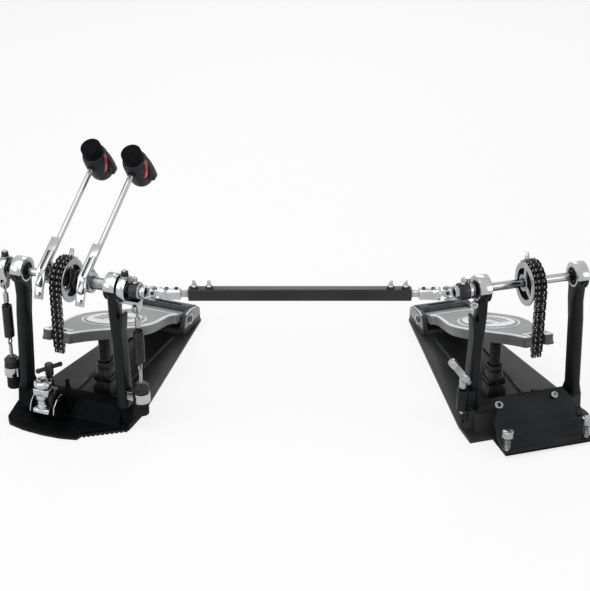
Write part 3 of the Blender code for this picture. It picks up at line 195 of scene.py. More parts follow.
def eased_loop(outline, radius, steps=3):
    """The same on a closed outline."""
    outline = np.asarray(outline, float)
    return eased(np.concatenate([outline[-1:], outline, outline[:1]]), radius, steps)[1:-1]


def frame_along(axis):
    """Two directions square to axis."""
    axis = np.asarray(axis, float) / np.linalg.norm(axis)
    side = np.cross(UP if abs(axis[2]) < 0.9 else ALONG, axis)
    side /= np.linalg.norm(side)
    return side, np.cross(axis, side)


def spokes(axis, sides):
    """Unit directions round the axis: side cos a + up sin a."""
    side, up = frame_along(axis)
    a = turn(sides)[:, None]
    return side * np.cos(a) + up * np.sin(a)


def lathe(start, axis, profile, sides=40, ribs=0, rib_depth=0.0, rib_span=(0, 0)):
    """A profile of (distance d, radius r) turned about the axis: start + axis d + r (side cos a + up sin a).
    With ribs, r falls by rib_depth times a rounded cosine of ribs a, inside rib_span of distances."""
    axis = np.asarray(axis, float) / np.linalg.norm(axis)
    profile = np.asarray(profile, float)
    d, r = profile[:, :1], np.maximum(profile[:, 1:], 0.04)
    inside = (d >= rib_span[0]) & (d <= rib_span[1])
    radius = r - inside * rib_depth * (0.5 + 0.5 * np.cos(ribs * turn(sides)))
    return skin(np.asarray(start, float) + axis * d[..., None] + spokes(axis, sides) * radius[..., None])


def turned(start, axis, profile, radius, sides, steps=3, **ribs):
    """A lathed form with eased corners."""
    return lathe(start, axis, eased(profile, radius, steps), sides, **ribs)


def stub(start, axis, length, radius, edge, sides, core=1.0, steps=3):
    """A round bar with eased rims; core is the radius at which its end faces close."""
    return turned(start, axis, [(0, core), (0, radius), (length, radius), (length, core)], edge, sides, steps)


def ring_of(centre, axis, inner, outer, length, rim=0.4, sides=40):
    """A washer with rounded rims: a closed profile turned about an axis that it does not reach."""
    axis = np.asarray(axis, float) / np.linalg.norm(axis)
    profile = eased_loop([(0, inner), (length, inner), (length, outer), (0, outer)], rim)
    around = spokes(axis, sides)[:, None]
    return skin(np.asarray(centre, float) + axis * profile[:, :1] + around * profile[:, 1:], looped=True)


def inset(outline, distance):
    """A closed outline moved inward by distance along the halved corner direction."""
    outline = np.asarray(outline, float)
    ahead = np.roll(outline, -1, 0)
    on = ahead - outline
    on /= np.maximum(np.linalg.norm(on, axis=1, keepdims=True), 1e-6)
    back = np.roll(on, 1, 0)
    area = np.sum(outline[:, 0] * ahead[:, 1] - ahead[:, 0] * outline[:, 1])
    way = np.array([-1.0, 1.0]) * (1.0 if area > 0 else -1.0)
    before = back[:, ::-1] * way
    middle = before + on[:, ::-1] * way
    middle /= np.maximum(np.linalg.norm(middle, axis=1, keepdims=True), 1e-9)
    return outline + middle * distance / np.clip(np.sum(middle * before, 1, keepdims=True), 0.5, 1.0)


def slab(outline, low, high, edge=0.5, along="x", steps=2):
    """A closed outline carried from low to high with both rims rounded by a quarter circle of radius edge."""
    a = np.linspace(0, math.pi / 2, steps + 1)
    rings = []
    for t, level, inward in [(t, low, edge) for t in a] + [(t, high, -edge) for t in a[::-1]]:
        flat = inset(outline, edge * (1 - math.sin(t)))
        rings.append(np.insert(flat, "xyz".index(along), level + inward * (1 - math.cos(t)), axis=1))
    return skin(rings)


def soft_slab(outline, radius, steps, low, high, edge, along="x"):
    """A slab whose outline has eased corners."""
    return slab(eased_loop(outline, radius, steps), low, high, edge, along)


def box(low, high, edge=0.5):
    """A rectangle carried up Z, between two opposite corners."""
    return slab(rect(*low[:2], *high[:2]), low[2], high[2], edge, "z")


def tube(path, radius, sides=12, looped=False):
    """A circle carried along a path: at each point it stands square to the way to the next, and its zero
    angle follows from the last by the smallest turn."""
    path = np.asarray(path, float)
    ahead = np.roll(path, -1, 0) - np.roll(path, 1, 0) if looped else np.gradient(path, axis=0)
    ahead /= np.linalg.norm(ahead, axis=1, keepdims=True)
    side, _ = frame_along(ahead[0])
    across = []
    for direction in ahead:
        side = side - direction * np.dot(side, direction)
        side /= np.linalg.norm(side)
        across.append(side)
    across = np.array(across)
    a = turn(sides)[None, :, None]
    ring = across[:, None] * np.cos(a) + np.cross(ahead, across)[:, None] * np.sin(a)
    return skin(path[:, None] + ring * radius, looped)


def coil_path(centre, low, high, radius, turns, wire, end_radius=None, dead=0.8):
    """A helix whose height eases in and out so that its first and last turns lie flat: z = low + rise * s(t),
    with s straight between the dead turns; the radius closes to end_radius at both ends."""
    t = np.linspace(0, turns, turns * 24 + 1)
    rise = np.clip((t - dead) / (turns - 2 * dead), 0, 1) * (high - low - 4 * wire * dead - 2 * wire)
    flat = np.minimum(t, dead) + np.maximum(t - (turns - dead), 0)
    ease = np.clip(np.minimum(t, turns - t) / 0.5, 0, 1)
    small = radius if end_radius is None else end_radius
    r = small + (radius - small) * ease * ease * (3 - 2 * ease)
    a = 2 * math.pi * t
    z = low + wire + rise + flat * 2 * wire
    return np.stack([centre[0] + r * np.cos(a), centre[1] + r * np.sin(a), z], 1)


def thread(start, pitch, count, crest, root):
    """Profile points of a thread that rises and falls by turns."""
    return [(start + i * pitch, crest if i % 2 else root) for i in range(1, count)]


# Objects.

def linked(name, data):
    """A new object of the scene."""
    obj = bpy.data.objects.new(name, data)
    bpy.context.scene.collection.objects.link(obj)
    return obj


def made(name, form, material, body, at=WORLD, node=None, sharp=38.0, tones=None):
    """An object at the origin from a form or a list of them, in the frame given by at, riding on its body."""
    points, faces = placed(joined(form) if isinstance(form, list) else form, at)
    mesh = bpy.data.meshes.new(name)
    mesh.from_pydata((points * MM).tolist(), [], faces)
    if tones is not None:
        layer = mesh.attributes.new("tone", "FLOAT", "POINT")
        layer.data.foreach_set("value", np.asarray(tones, np.float32))
    mesh.shade_smooth()
    mesh.set_sharp_from_angle(angle=math.radians(sharp))
    mesh.materials.append(FINISH[material])
    obj = linked(name, mesh)
    if body is not None:
        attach(obj, body)
    if node is not None:
        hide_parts(node)
        REPLACED.add(node)
    return obj


# The finishes by name, and the solids that have a made piece in their place.
FINISH = {}
REPLACED = set()


def shader_of(name):
    """A new material, its nodes, its links and its shader."""
    material = bpy.data.materials.new(name)
    material.use_nodes = True
    tree = material.node_tree
    return material, tree.nodes, tree.links, tree.nodes["Principled BSDF"]


def ramp_of(nodes, *stops):
    """A colour ramp through the stops, each a place and a colour."""
    ramp = nodes.new("ShaderNodeValToRGB")
    elements = ramp.color_ramp.elements
    for _ in stops[2:]:
        elements.new(0.5)
    for element, (place, colour) in zip(elements, stops):
        element.position = place
        element.color = (*colour, 1.0)
    return ramp


def math_of(nodes, operation, constant=None):
    """A Math node; the constant goes in its second socket."""
    node = nodes.new("ShaderNodeMath")
    node.operation = operation
    if constant is not None:
        node.inputs[1].default_value = constant
    return node


def finish(name, dark, light, rough, cloud, grain, bump, depth, metallic=0.0, specular=0.5, painted_shade=None,
           stretch=(1.0, 1.0, 1.0), coat=0.0, tone=None):
    """Colour drifts between dark and light over soft clouds, roughness follows a finer noise, and the same
    noise lifts the surface. With tone, a ramp of three colours reads the object's own tone attribute instead
    and the clouds only vary it. With a shade distance, hollows within that distance of other surfaces
    darken: painted shade."""
    material, nodes, links, shader = shader_of(name)
    place = nodes.new("ShaderNodeTexCoord")
    mapping = nodes.new("ShaderNodeMapping")
    mapping.inputs["Scale"].default_value = stretch
    links.new(place.outputs["Object"], mapping.inputs["Vector"])
    clouds, fine = nodes.new("ShaderNodeTexNoise"), nodes.new("ShaderNodeTexNoise")
    for noise, scale, detail in ((clouds, cloud, 4.0), (fine, grain, 3.0)):
        noise.inputs["Scale"].default_value = scale
        noise.inputs["Detail"].default_value = detail
        links.new(mapping.outputs["Vector"], noise.inputs["Vector"])
    ramp = ramp_of(nodes, (0.35, dark), (0.65, light))
    links.new(clouds.outputs["Fac"], ramp.inputs["Fac"])
    colour = ramp.outputs["Color"]
    spread = nodes.new("ShaderNodeMapRange")
    spread.inputs["To Min"].default_value, spread.inputs["To Max"].default_value = rough
    links.new(fine.outputs["Fac"], spread.inputs["Value"])
    if tone is not None:
        layer = nodes.new("ShaderNodeAttribute")
        layer.attribute_name = "tone"
        steps = ramp_of(nodes, *zip((0.0, 0.5, 1.0), tone))
        links.new(layer.outputs["Fac"], steps.inputs["Fac"])
        colour = mixed(nodes, links, "MULTIPLY", 1.0, steps.outputs["Color"], colour)
    # Painted shade: ambient occlusion within that distance pulls the colour toward dark grey in hollows.
    if painted_shade is not None:
        shut = nodes.new("ShaderNodeAmbientOcclusion")
        shut.samples = 4
        shut.inputs["Distance"].default_value = painted_shade
        power = math_of(nodes, "POWER", 1.6)
        links.new(shut.outputs["AO"], power.inputs[0])
        near = mixed(nodes, links, "MULTIPLY", 1.0, colour, (0.16, 0.16, 0.17, 1.0))
        colour = mixed(nodes, links, "MIX", power.outputs[0], near, colour)
    links.new(colour, shader.inputs["Base Color"])
    links.new(spread.outputs["Result"], shader.inputs["Roughness"])
    for socket, value in (("Metallic", metallic), ("Coat Weight", coat), ("Coat Roughness", 0.1),
                          ("Specular IOR Level", specular)):
        shader.inputs[socket].default_value = value
    lift = nodes.new("ShaderNodeBump")
    lift.inputs["Strength"].default_value = bump
    lift.inputs["Distance"].default_value = depth
    links.new(fine.outputs["Fac"], lift.inputs["Height"])
    links.new(lift.outputs["Normal"], shader.inputs["Normal"])
    FINISH[name] = material


def mixed(nodes, links, way, share, first, second):
    """Colour output of a Mix node; share, first and second are each an output or a constant."""
    mix = nodes.new("ShaderNodeMix")
    mix.data_type = "RGBA"
    mix.blend_type = way
    for socket, value in zip([s for s in mix.inputs if s.enabled], (share, first, second)):
        if isinstance(value, bpy.types.NodeSocket):
            links.new(value, socket)
        else:
            socket.default_value = value
    return [s for s in mix.outputs if s.enabled][0]


def shade(colour, factor):
    """The colour times a factor, kept between nought and one."""
    return tuple(min(max(c * factor, 0.0), 1.0) for c in colour)


# Settings of the panel.

class PedalSizes(bpy.types.PropertyGroup):
    spring_turns: IntProperty(name="Spring turns", description="Turns of each tension spring", default=22, min=8)
    spring_wire: FloatProperty(name="Spring wire", description="Radius of the tension springs' wire",
                               default=0.0011, unit="LENGTH")
    coil_turns: IntProperty(name="Coil turns", description="Turns of the spring under each footboard", default=12,
                            min=4)
    roller_radius: FloatProperty(name="Chain roller", description="Radius of a chain roller", default=0.0030,
                                 unit="LENGTH")
    rim_width: FloatProperty(name="Footboard rim", description="Width of the bright rim on the footboards",
                             default=0.0032, unit="LENGTH")
    knob_ribs: IntProperty(name="Knob ribs", description="Grip ribs round each tension knob", default=20, min=6)
    round_sides: IntProperty(name="Sides", description="Sides of the beaters' shafts", default=40, min=12)


class PedalColours(bpy.types.PropertyGroup):
    casting: FloatVectorProperty(name="Casting", description="Black paint of posts and castings", subtype="COLOR",
                                 default=(0.0052, 0.0064, 0.0072))
    plate: FloatVectorProperty(name="Floor plate", description="Dark grey of the floor plates", subtype="COLOR",
                               default=(0.019, 0.0196, 0.0206))
    chrome: FloatVectorProperty(name="Chrome", description="Bright plating", subtype="COLOR",
                                default=(0.45, 0.46, 0.47))
    steel: FloatVectorProperty(name="Steel", description="Duller plated steel", subtype="COLOR",
                               default=(0.35, 0.36, 0.37))
    board: FloatVectorProperty(name="Footboard", description="Blasted alloy of the footboards", subtype="COLOR",
                               default=(0.25, 0.26, 0.26))
    rim: FloatVectorProperty(name="Footboard rim", description="Polished rim of the footboards", subtype="COLOR",
                             default=(0.80, 0.81, 0.82))
    accent: FloatVectorProperty(name="Accent", description="Red strip on the beaters", subtype="COLOR",
                                default=(0.45, 0.012, 0.035))


class StageSettings(bpy.types.PropertyGroup):
    key_power: FloatProperty(name="Key light", description="Power of the large lamp above", default=24.0,
                             unit="POWER")
    fill_power: FloatProperty(name="Fill light", description="Power of the side and back lamps", default=9.0,
                              unit="POWER")
    sky: FloatProperty(name="Sky", description="Level of the plain surroundings", default=0.55)
    lens: FloatProperty(name="Lens", description="Focal length of the camera in millimetres", default=91.525)


# Shapes of this pedal.

def chain_spot(k):
    """(y, z) of chain pin k in a pedal's frame: on the cam's circle while k is below the wound links, then
    straight down."""
    if k > WOUND:
        return np.array([-CAM_BACK - CHAIN_R, SHAFT_Z - CHAIN_PITCH * (k - WOUND)])
    a = LINK_STEP * (WOUND - k)
    return np.array([-CAM_BACK - CHAIN_R * math.cos(a), SHAFT_Z + CHAIN_R * math.sin(a)])


def plate_outline(k, half):
    """Chain plate k: two round eyes joined by a waist; half height = half - waist sin^2 between the pins."""
    a = np.linspace(math.pi / 2, 3 * math.pi / 2, 9)
    eye = half * np.stack([np.cos(a), np.sin(a)], 1)
    u = np.linspace(0, CHAIN_PITCH, 7)[1:-1]
    edge = np.stack([u, half - PLATE_WAIST * np.sin(math.pi * u / CHAIN_PITCH) ** 2], 1)
    flat = np.concatenate([eye, edge * (1, -1), (CHAIN_PITCH, 0) - eye, edge[::-1]])
    start, end = chain_spot(k), chain_spot(k + 1)
    along = (end - start) / np.linalg.norm(end - start)
    return start + flat[:, :1] * along + flat[:, 1:] * np.array([-along[1], along[0]])


def chain_run(prefix, part, body, links, carried, sizes):
    """Plates, rollers and pins of one rigid run of the double chain. Its even links are the inner ones."""
    plates, rollers, pins = [], [], []
    r = sizes.roller_radius / MM
    for k in range(*links):
        inner = k % 2 == 0
        outline = plate_outline(k, 3.7 if inner else 3.8)
        for levels in ((1.6, 2.4), (5.4, 6.2)) if inner else ((0.1, 0.9), (6.7, 7.7)):
            for sign in (-1, 1):
                plates.append(slab(outline, *sorted(sign * level for level in levels), 0.2, steps=1))
        for y, z in (chain_spot(k), chain_spot(k + 1)) if inner else ():
            for sign in (-1, 1):
                rollers.append(lathe((sign * 2.4, y, z), (sign, 0, 0), [
                    (0, 1.9), (0, r - 0.3), (0.3, r), (2.7, r), (3.0, r - 0.3), (3.0, 1.9)], 16))
                pins.append(lathe((sign * 3.3, y, z), (sign, 0, 0), [
                    (0, 1.9), (0.1, r + 0.2), (0.7, r + 0.2), (0.8, 1.9)], 12))
    for k in range(*carried):
        y, z = chain_spot(k)
        reach = 11.0 if k == BOARD_PIN_K else 8.4
        end = [(0, 0.8), (0.3, 1.4), (0.7, 1.6), (0.7, 1.3)]
        profile = end + [(2 * reach - d, radius) for d, radius in end[::-1]]
        pins.append(lathe((-reach, y, z), ALONG, profile, 10))
    node, at = f"{prefix}_chain_{part}", PEDALS[prefix]
    made(f"{node}_plates", plates, "chain", body, at, node=node)
    made(f"{node}_rollers", rollers, "chain_rollers", body, at)
    made(f"{node}_pins", pins, "chain_pins", body, at)


# Half width of the footboard by the distance from its tip.
BOARD_SIDE = np.array([(0, 22), (18, 23.2), (52, 28.5), (85, 36.5), (118, 45), (150, 50.8), (181, 53),
                       (213, 50), (245, 43.5), (277, 37), (298, 33.5), (316, 34.5), (322, 37.2)], float)
BOARD_DROP = SHAFT_Z - 9 * CHAIN_PITCH - HINGE_Z
BOARD_RUN = HINGE_Y + CAM_BACK + CHAIN_R
BOARD_PIN = math.hypot(BOARD_DROP, BOARD_RUN)
BOARD_TIP = -BOARD_PIN - 7.0
# From the footboard's own frame, flat with its hinge at the origin, to the pedal's.
BOARD = tilted(-math.atan2(BOARD_DROP, BOARD_RUN), HINGE_Y, HINGE_Z)
# Rings of the footboard, as (shrink, height, tone), from below up to its bright rim.
# The low tones of its underside and walls are painted shade.
BOARD_RINGS = [(5.2, 3.5, 0.0), (4.6, -6.0, 0.0), (4.0, -7.6, 0.0), (3.0, -8.0, 0.0), (1.2, -8.0, 0.02),
               (0.3, -7.4, 0.08), (0.0, -6.4, 0.04), (0.6, -3.0, 0.04), (0.6, 2.0, 0.04), (0.0, 4.8, 0.06),
               (0.0, 5.8, 0.15), (0.2, 6.6, 0.95), (0.8, 7.4, 1.0), (1.4, 7.9, 1.0)]


def board_half(t):
    """Half width of the footboard at distance t from its tip: a smooth cubic through the measured widths."""
    t = np.asarray(t, float)
    ways, widths = BOARD_SIDE[:, 0], BOARD_SIDE[:, 1]
    slopes = np.gradient(widths, ways)
    k = np.clip(np.searchsorted(ways, t) - 1, 0, len(ways) - 2)
    span = ways[k + 1] - ways[k]
    u = (t - ways[k]) / span
    return ((2 * u ** 3 - 3 * u ** 2 + 1) * widths[k] + (u ** 3 - 2 * u ** 2 + u) * span * slopes[k]
            + (3 * u ** 2 - 2 * u ** 3) * widths[k + 1] + (u ** 3 - u ** 2) * span * slopes[k + 1])


def board_loop(shrink):
    """Outline of the footboard with the chain's slot between its two tines, moved in by shrink on every side;
    its corners grow smaller as it shrinks, so that the tines never fold over."""
    t = np.linspace(322.0 - shrink, 3.5 + shrink, 64)
    side = np.stack([board_half(t) - shrink, BOARD_TIP + t], 1)
    outer, inner = float(board_half(0.0)) - shrink, 9.2 + shrink
    tip, deep = BOARD_TIP + shrink, -BOARD_PIN + 15.6 + shrink
    c = 2.3 - shrink / 3
    corners = [(outer - 0.3 * c, tip + 0.15 * c), (outer - c, tip), (inner + 0.8 * c, tip),
               (inner, tip + 0.8 * c), (inner, deep - 0.4 * c), (inner - 0.4 * c, deep)]
    right = np.concatenate([side, np.array(corners)])
    return np.concatenate([right, right[::-1] * (-1.0, 1.0)])


def footboard(prefix, sizes):
    """The board as rings of its outline, with its hinge, its ribs below and the oval inlay on top."""
    rim = sizes.rim_width / MM
    rows = BOARD_RINGS + [(1.4 + rim * 0.5, 8.1, 1.0), (1.4 + rim * 0.8, 7.9, 0.95), (1.4 + rim, 7.4, 0.5),
                          (2.0 + rim, 7.3, 0.5)]
    rings, tones = [], []
    # Painted light and shade: the walls stay dark at the tip and grow lighter toward the heel.
    painted_wall_light = np.interp(board_loop(0.0)[:, 1] - BOARD_TIP, [0, 120, 220, 320], [0.0, 0.06, 0.26, 0.34])
    for shrink, level, tone in rows:
        rings.append(np.insert(board_loop(shrink), 2, level, axis=1))
        tones += list(tone + painted_wall_light * (0.0 < tone < 0.5))
    forms = [skin(rings)]
    # The hinge pieces take the top's tone; the ribs below take a low tone, painted shade under the board.
    for form, tone in ((stub((-37.2, 0, 0), ALONG, 74.4, 7.8, 0.8, 32), 0.5),
                       (box((-37.2, BOARD_TIP + 319.5, -6.0), (37.2, -1.0, 6.0), 0.8), 0.5),
                       (box((-37.4, BOARD_TIP + 320.0, 1.0), (37.4, 10.0, 7.8), 0.8), 0.5),
                       (box((-1.5, BOARD_TIP + 29.0, -7.8), (1.5, BOARD_TIP + 315.0, 4.5), 0.3), 0.05),
                       (box((-47.0, BOARD_TIP + 170.0, -7.8), (47.0, BOARD_TIP + 173.0, 4.5), 0.3), 0.05)):
        forms.append(form)
        tones += [tone] * len(form[0])
    body, node, at = f"{prefix}_board", f"{prefix}_footboard", PEDALS[prefix] @ BOARD
    made(f"{prefix}_footboard_casting", forms, "board", body, at, node=node, tones=tones, sharp=50.0)
    cup = stub((coil_x(prefix), COIL_Y, 103.8), UP, 10.0, 8.0, 0.8, 32)
    made(f"{prefix}_coil_cup", cup, "plastic", body, PEDALS[prefix])
    t = turn(72)
    for name, a, b, low, high, edge, material in (
            ("base", 38.5, 75.5, 7.0, 8.0, 0.4, "inlay"),
            ("field", 35.8, 72.2, 7.8, 8.6, 0.3, "board_plain"),
            ("ring", 32.2, 67.8, 8.4, 8.9, 0.2, "inlay_edge"),
            ("middle", 31.4, 66.8, 8.6, 9.2, 0.3, "inlay")):
        oval = slab(np.stack([a * np.cos(t), INLAY_Y + b * np.sin(t)], 1), low, high, edge, "z")
        made(f"{prefix}_inlay_{name}", oval, material, body, at)
    ribs = []
    for off in RIB_STEP * np.arange(-2, 3):
        y, w = INLAY_Y + off, 22.0 * math.sqrt(1 - (off / 66.0) ** 2)
        for low, high in ((-w, -3.0), (3.0, w)):
            ribs.append(box((low, y - 1.9, 8.9), (high, y + 1.9, 9.7), 0.4))
    made(f"{prefix}_inlay_ribs", ribs, "inlay_edge", body, at)


def coil_x(prefix):
    """Where the coil under a footboard stands: off the middle, toward the pedal's inner side."""
    return COIL_X if prefix == "main" else -COIL_X


def beater_matrix(x):
    """X is the pedal's, Y the strike direction and Z along the beater, from the shaft."""
    c, s = math.cos(BEATER_LEAN), math.sin(BEATER_LEAN)
    return MAIN @ np.array([[1, 0, 0, x], [0, -c, s, 0], [0, s, c, SHAFT_Z], [0, 0, 0, 1]], float)


HEAD_PROFILE = [(-6.2, 1.0), (-6.2, 12.0), (-5.0, 14.2), (0.0, 16.6), (8.0, 18.0), (18.0, 18.6), (30.0, 18.7),
                (37.5, 18.2), (42.5, 16.8), (43.2, 15.5), (43.2, 1.0)]
HEAD_START = BEATER_AHEAD - 30.0


def head_patch(low, high, angle, twist, half, rise):
    """A closed shell on the barrel: u runs along it, v round it, and its rise over the barrel is given. Its
    middle starts at angle and turns by twist on the way."""
    u = np.linspace(low, high, 22)[:, None]
    v = np.linspace(-1, 1, 15)[None, :]
    share = (u - low) / (high - low)
    a = np.radians(angle + twist * share + half * v)
    barrel = np.interp(u, *np.transpose(HEAD_PROFILE[2:-2])) + 0 * v
    walls = [np.stack([r * np.cos(a), HEAD_START + u + 0 * v, BEATER_REACH + r * np.sin(a)], -1)
             for r in (barrel + rise(share, v), barrel - 3.0)]
    return skin(np.concatenate([walls[0], walls[1][:, ::-1]], 1))


def strip_rise(share, v):
    """A low flat ridge that dies away at both ends."""
    return 1.2 * np.sqrt(np.clip(1 - v ** 6, 0, 1)) * np.clip(np.sin(math.pi * share) * 4, 0, 1)


def wedge_rise(share, v):
    """A wedge that is highest at the back of the head."""
    return (1.0 + 6.4 * (1 - share) ** 0.8) * np.clip(1 - np.abs(v) ** 6, 0, 1) ** 0.5


def beater(prefix, x, body, sizes):
    """Shaft, barrel body, striking face, accent strip and wedge of one beater."""
    at, head = beater_matrix(x), f"{prefix}_beater_head"
    shaft = stub((0, BEATER_AHEAD, -27), UP, BEATER_REACH + 39.0, 4.0, 0.8, sizes.round_sides)
    made(f"{prefix}_beater_shaft", shaft, "chrome", body, at, node=f"{prefix}_beater_rod")
    barrel = turned((0, HEAD_START, BEATER_REACH), BACK, HEAD_PROFILE, 1.2, 64)
    made(f"{prefix}_beater_barrel", barrel, "head", body, at, node=head)
    face = stub((0, HEAD_START + 42.5, BEATER_REACH), BACK, 15.7, 14.9, 2.2, 56, steps=5)
    grommet = turned((0, BEATER_AHEAD, BEATER_REACH - 20.6), UP, [
        (0, 4.2), (0, 5.8), (4.0, 6.4), (4.0, 4.2)], 0.6, 32)
    for name, form, material in (
            ("striking_face", face, "felt"), ("beater_grommet", grommet, "rubber"),
            ("beater_strip", head_patch(17.0, 41.5, -36.0, 38.0, 9.0, strip_rise), "accent"),
            ("beater_wedge", head_patch(7.0, 38.0, -4.0, 18.0, 19.0, wedge_rise), "plastic")):
        made(f"{prefix}_{name}", form, material, body, at)


def tension_spring(prefix, x, sizes):
    """The wound spring of one beater, between the two bodies that it joins; it rides on neither of them."""
    wire = sizes.spring_wire / MM
    path = coil_path((x, SPRING_Y), *SPRING_ENDS, 6.4, sizes.spring_turns, wire, 1.6)
    name = f"{prefix}_spring"
    spring = made(f"{name}_coil", tube(path, wire, 10), "spring", None, MAIN, node=name)
    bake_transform(spring)


def board_coil(prefix, sizes):
    """The coil under a footboard, standing on its foot and riding on the frames."""
    x, at = coil_x(prefix), PEDALS[prefix]
    path = coil_path((x, COIL_Y), COIL_FOOT, 103.5, 7.2, sizes.coil_turns, 1.2)
    coil = made(f"{prefix}_board_coil", tube(path, 1.2, 10), "spring", "frames", at, node=f"{prefix}_coil")
    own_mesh(coil)


def tension_rod(prefix, x, sizes):
    """Eye rod with its thread, the ribbed knob, and the nut under the collar."""
    node, t = f"{prefix}_eye_rod", turn(32)
    ring = np.stack([x + 0 * t, SPRING_Y + 4.1 * np.cos(t), 101.0 + 4.1 * np.sin(t)], 1)
    eye = tube(ring, 1.3, looped=True)
    profile = [(0, 0.5), (0, 2.6), *thread(0, 1.2, 40, 2.8, 2.3), (48.0, 2.6), (58.0, 2.6), (58.5, 1.6)]
    stem = lathe((x, SPRING_Y, 39.0), UP, profile, 24)
    made(f"{prefix}_rod_and_eye", [eye, stem], "steel", "frames", MAIN, node=node)
    nut = turned((x, SPRING_Y, 26.2), UP, [
        (0, 1.0), (0, 8.6), (1.4, 9.7), (11.0, 9.7), (12.0, 8.0), (13.0, 8.0), (14.0, 9.7), (20.0, 9.7),
        (20.4, 1.0)], 0.6, 48)
    made(f"{prefix}_lower_nut", nut, "rubber", "frames", MAIN)
    knob = turned((x, SPRING_Y, 61.4), UP, [
        (0, 3.3), (0, 10.0), (1.0, 11.2), (10.4, 11.2), (11.8, 9.8), (12.2, 8.0), (14.5, 7.4), (14.9, 6.0),
        (14.9, 3.3)], 0.4, 120, 2, ribs=sizes.knob_ribs, rib_depth=0.8, rib_span=(1.1, 10.3))
    made(f"{prefix}_knob_grip", knob, "plastic", f"{prefix}_knob", MAIN, node=f"{prefix}_tension_knob")


def key_bolt(base, height, flange):
    """Square-headed drum key bolt standing on base: a round flange, a neck and the square."""
    x, y, z = base
    foot = turned(base, UP, [(0, 0.5), (0, flange), (height * 0.22, flange), (height * 0.30, flange * 0.7),
                             (height * 0.42, flange * 0.66), (height * 0.42, 0.5)], 0.4, 28)
    square = rect(x - KEY_HALF, y - KEY_HALF, x + KEY_HALF, y + KEY_HALF)
    head = soft_slab(square, 0.5, 2, z + height * 0.38, z + height, 0.6, "z")
    return joined([foot, head])


def link_tube():
    """The drive tube: a rounded rectangle carried along X, and the four key bolts on its top."""
    x0, x1, y, z = LINK_FROM + 48.0, LINK_TO - 48.0, LINK_Y, SHAFT_Z
    body = soft_slab(rect(y - 7.0, z - 8.5, y + 7.0, z + 8.5), 2.2, 5, x0, x1, 0.8)
    made("drive_tube", body, "tube_black", "link", node="link_tube")
    spots = (x0 + 8.0, x0 + 28.0, x1 - 28.0, x1 - 8.0)
    seats = [turned((x, y, z + 7.6), UP, [(0, 1.0), (0, 5.4), (3.2, 5.0), (3.8, 1.0)], 0.5, 28)
             for x in spots]
    bolts = [key_bolt((x, y, z + 10.8), 7.8, 4.4) for x in spots]
    mouths = [turned((x, y, z), (s, 0, 0), [(0, 5.2), (0, 6.6), (1.2, 6.4), (1.4, 5.2)], 0.3, 32)
              for x, s in ((x0 - 0.8, 1), (x1 + 0.8, -1))]
    for name, forms, material in (("tube_bolt_seats", seats, "tube_black"),
                                  ("tube_key_bolts", bolts, "chrome"),
                                  ("tube_mouth_rings", mouths, "steel")):
        made(name, forms, material, "link")


def spur(name, x):
    """Floor spur: round knurled head, coarse thread, a sharp point, and the spring round it."""
    y = -88.0
    profile = [(0, 0.1), (6.0, 2.6), *thread(6.0, 1.4, 17, 2.9, 2.2), (30.5, 3.0), (30.5, 6.6), (32.2, 8.1),
               (33.0, 8.2), (39.2, 8.2), (40.0, 8.0), (41.2, 6.2), (41.2, 0.2)]
    form = lathe((x, y, 0.3), UP, profile, 48, 24, 0.4, (32.5, 39.5))
    made(f"{name}_screw", form, "steel", f"{name}_spur_screw", SLAVE, node=f"{name}_spur")
    t = np.linspace(0, 6 * 2 * math.pi, 133)
    path = np.stack([x + 4.6 * np.cos(t), y + 4.6 * np.sin(t), 11.8 + 18.0 * t / t[-1]], 1)
    made(f"{name}_spur_spring", tube(path, 0.4, 8), "steel", "frames", SLAVE)


def drum_key():
    """Hexagon socket in the holster, a short neck, and the thick ribbed handle leaning across its top."""
    x, y = -96.5, -14.0
    hexagon = slab([(x + 4.6 * math.cos(a), y + 4.6 * math.sin(a)) for a in turn(6)], 18.2, 32.5, 0.6, "z")
    neck = turned((x, y, 32.0), UP, [(0, 1.0), (0, 3.0), (40.0, 3.0), (42.0, 5.6), (54.0, 6.0), (62.0, 5.0),
                                     (62.0, 1.0)], 1.2, 28)
    high = np.array([x - 21.5, y - 2.0, 121.0])
    along = np.array([x + 6.0, y - 6.0, 83.0]) - high
    length = float(np.linalg.norm(along))
    profile = [(0, 0.5), (0, 4.6), (1.4, 5.8), (10.0, 5.6), (12.0, 5.0), (length * 0.62, 5.0),
               (length * 0.66, 5.8), (length * 0.86, 5.8), (length * 0.88, 4.0), (length, 3.4), (length, 0.5)]
    handle = turned(high, along, profile, 0.6, 48, 2, ribs=24, rib_depth=0.5, rib_span=(12.5, length * 0.61))
    made("drum_key_body", [neck, handle], "key_metal", "drum_key", SLAVE, node="key")
    made("drum_key_socket", hexagon, "dark_steel", "drum_key", SLAVE)


def socket_screw(base, axis, radius, height, sides=32):
    """Cap screw: a cylinder whose top dips into a hexagon-sized hole."""
    return turned(base, axis, [(0, 0.4), (0, radius), (height, radius), (height, radius * 0.58),
                               (height * 0.45, radius * 0.52), (height * 0.45, 0.3)], 0.5, sides, 2)


def about_cam(radius, a):
    """Points (y, z) at a radius round the cam's centre."""
    return np.stack([-CAM_BACK - radius * np.cos(a), SHAFT_Z + radius * np.sin(a)], 1)


def arm_outline(out, half_in, half_out, near, far):
    """Corners (y, z) of an arm between two radii that leaves the cam's centre in the direction out."""
    out = np.array(out)
    over = np.array([-out[1], out[0]])
    return [np.array([-CAM_BACK, SHAFT_Z]) + out * r + over * w
            for r, w in ((near, -half_in), (far, -half_out), (far, half_out), (near, half_in))]


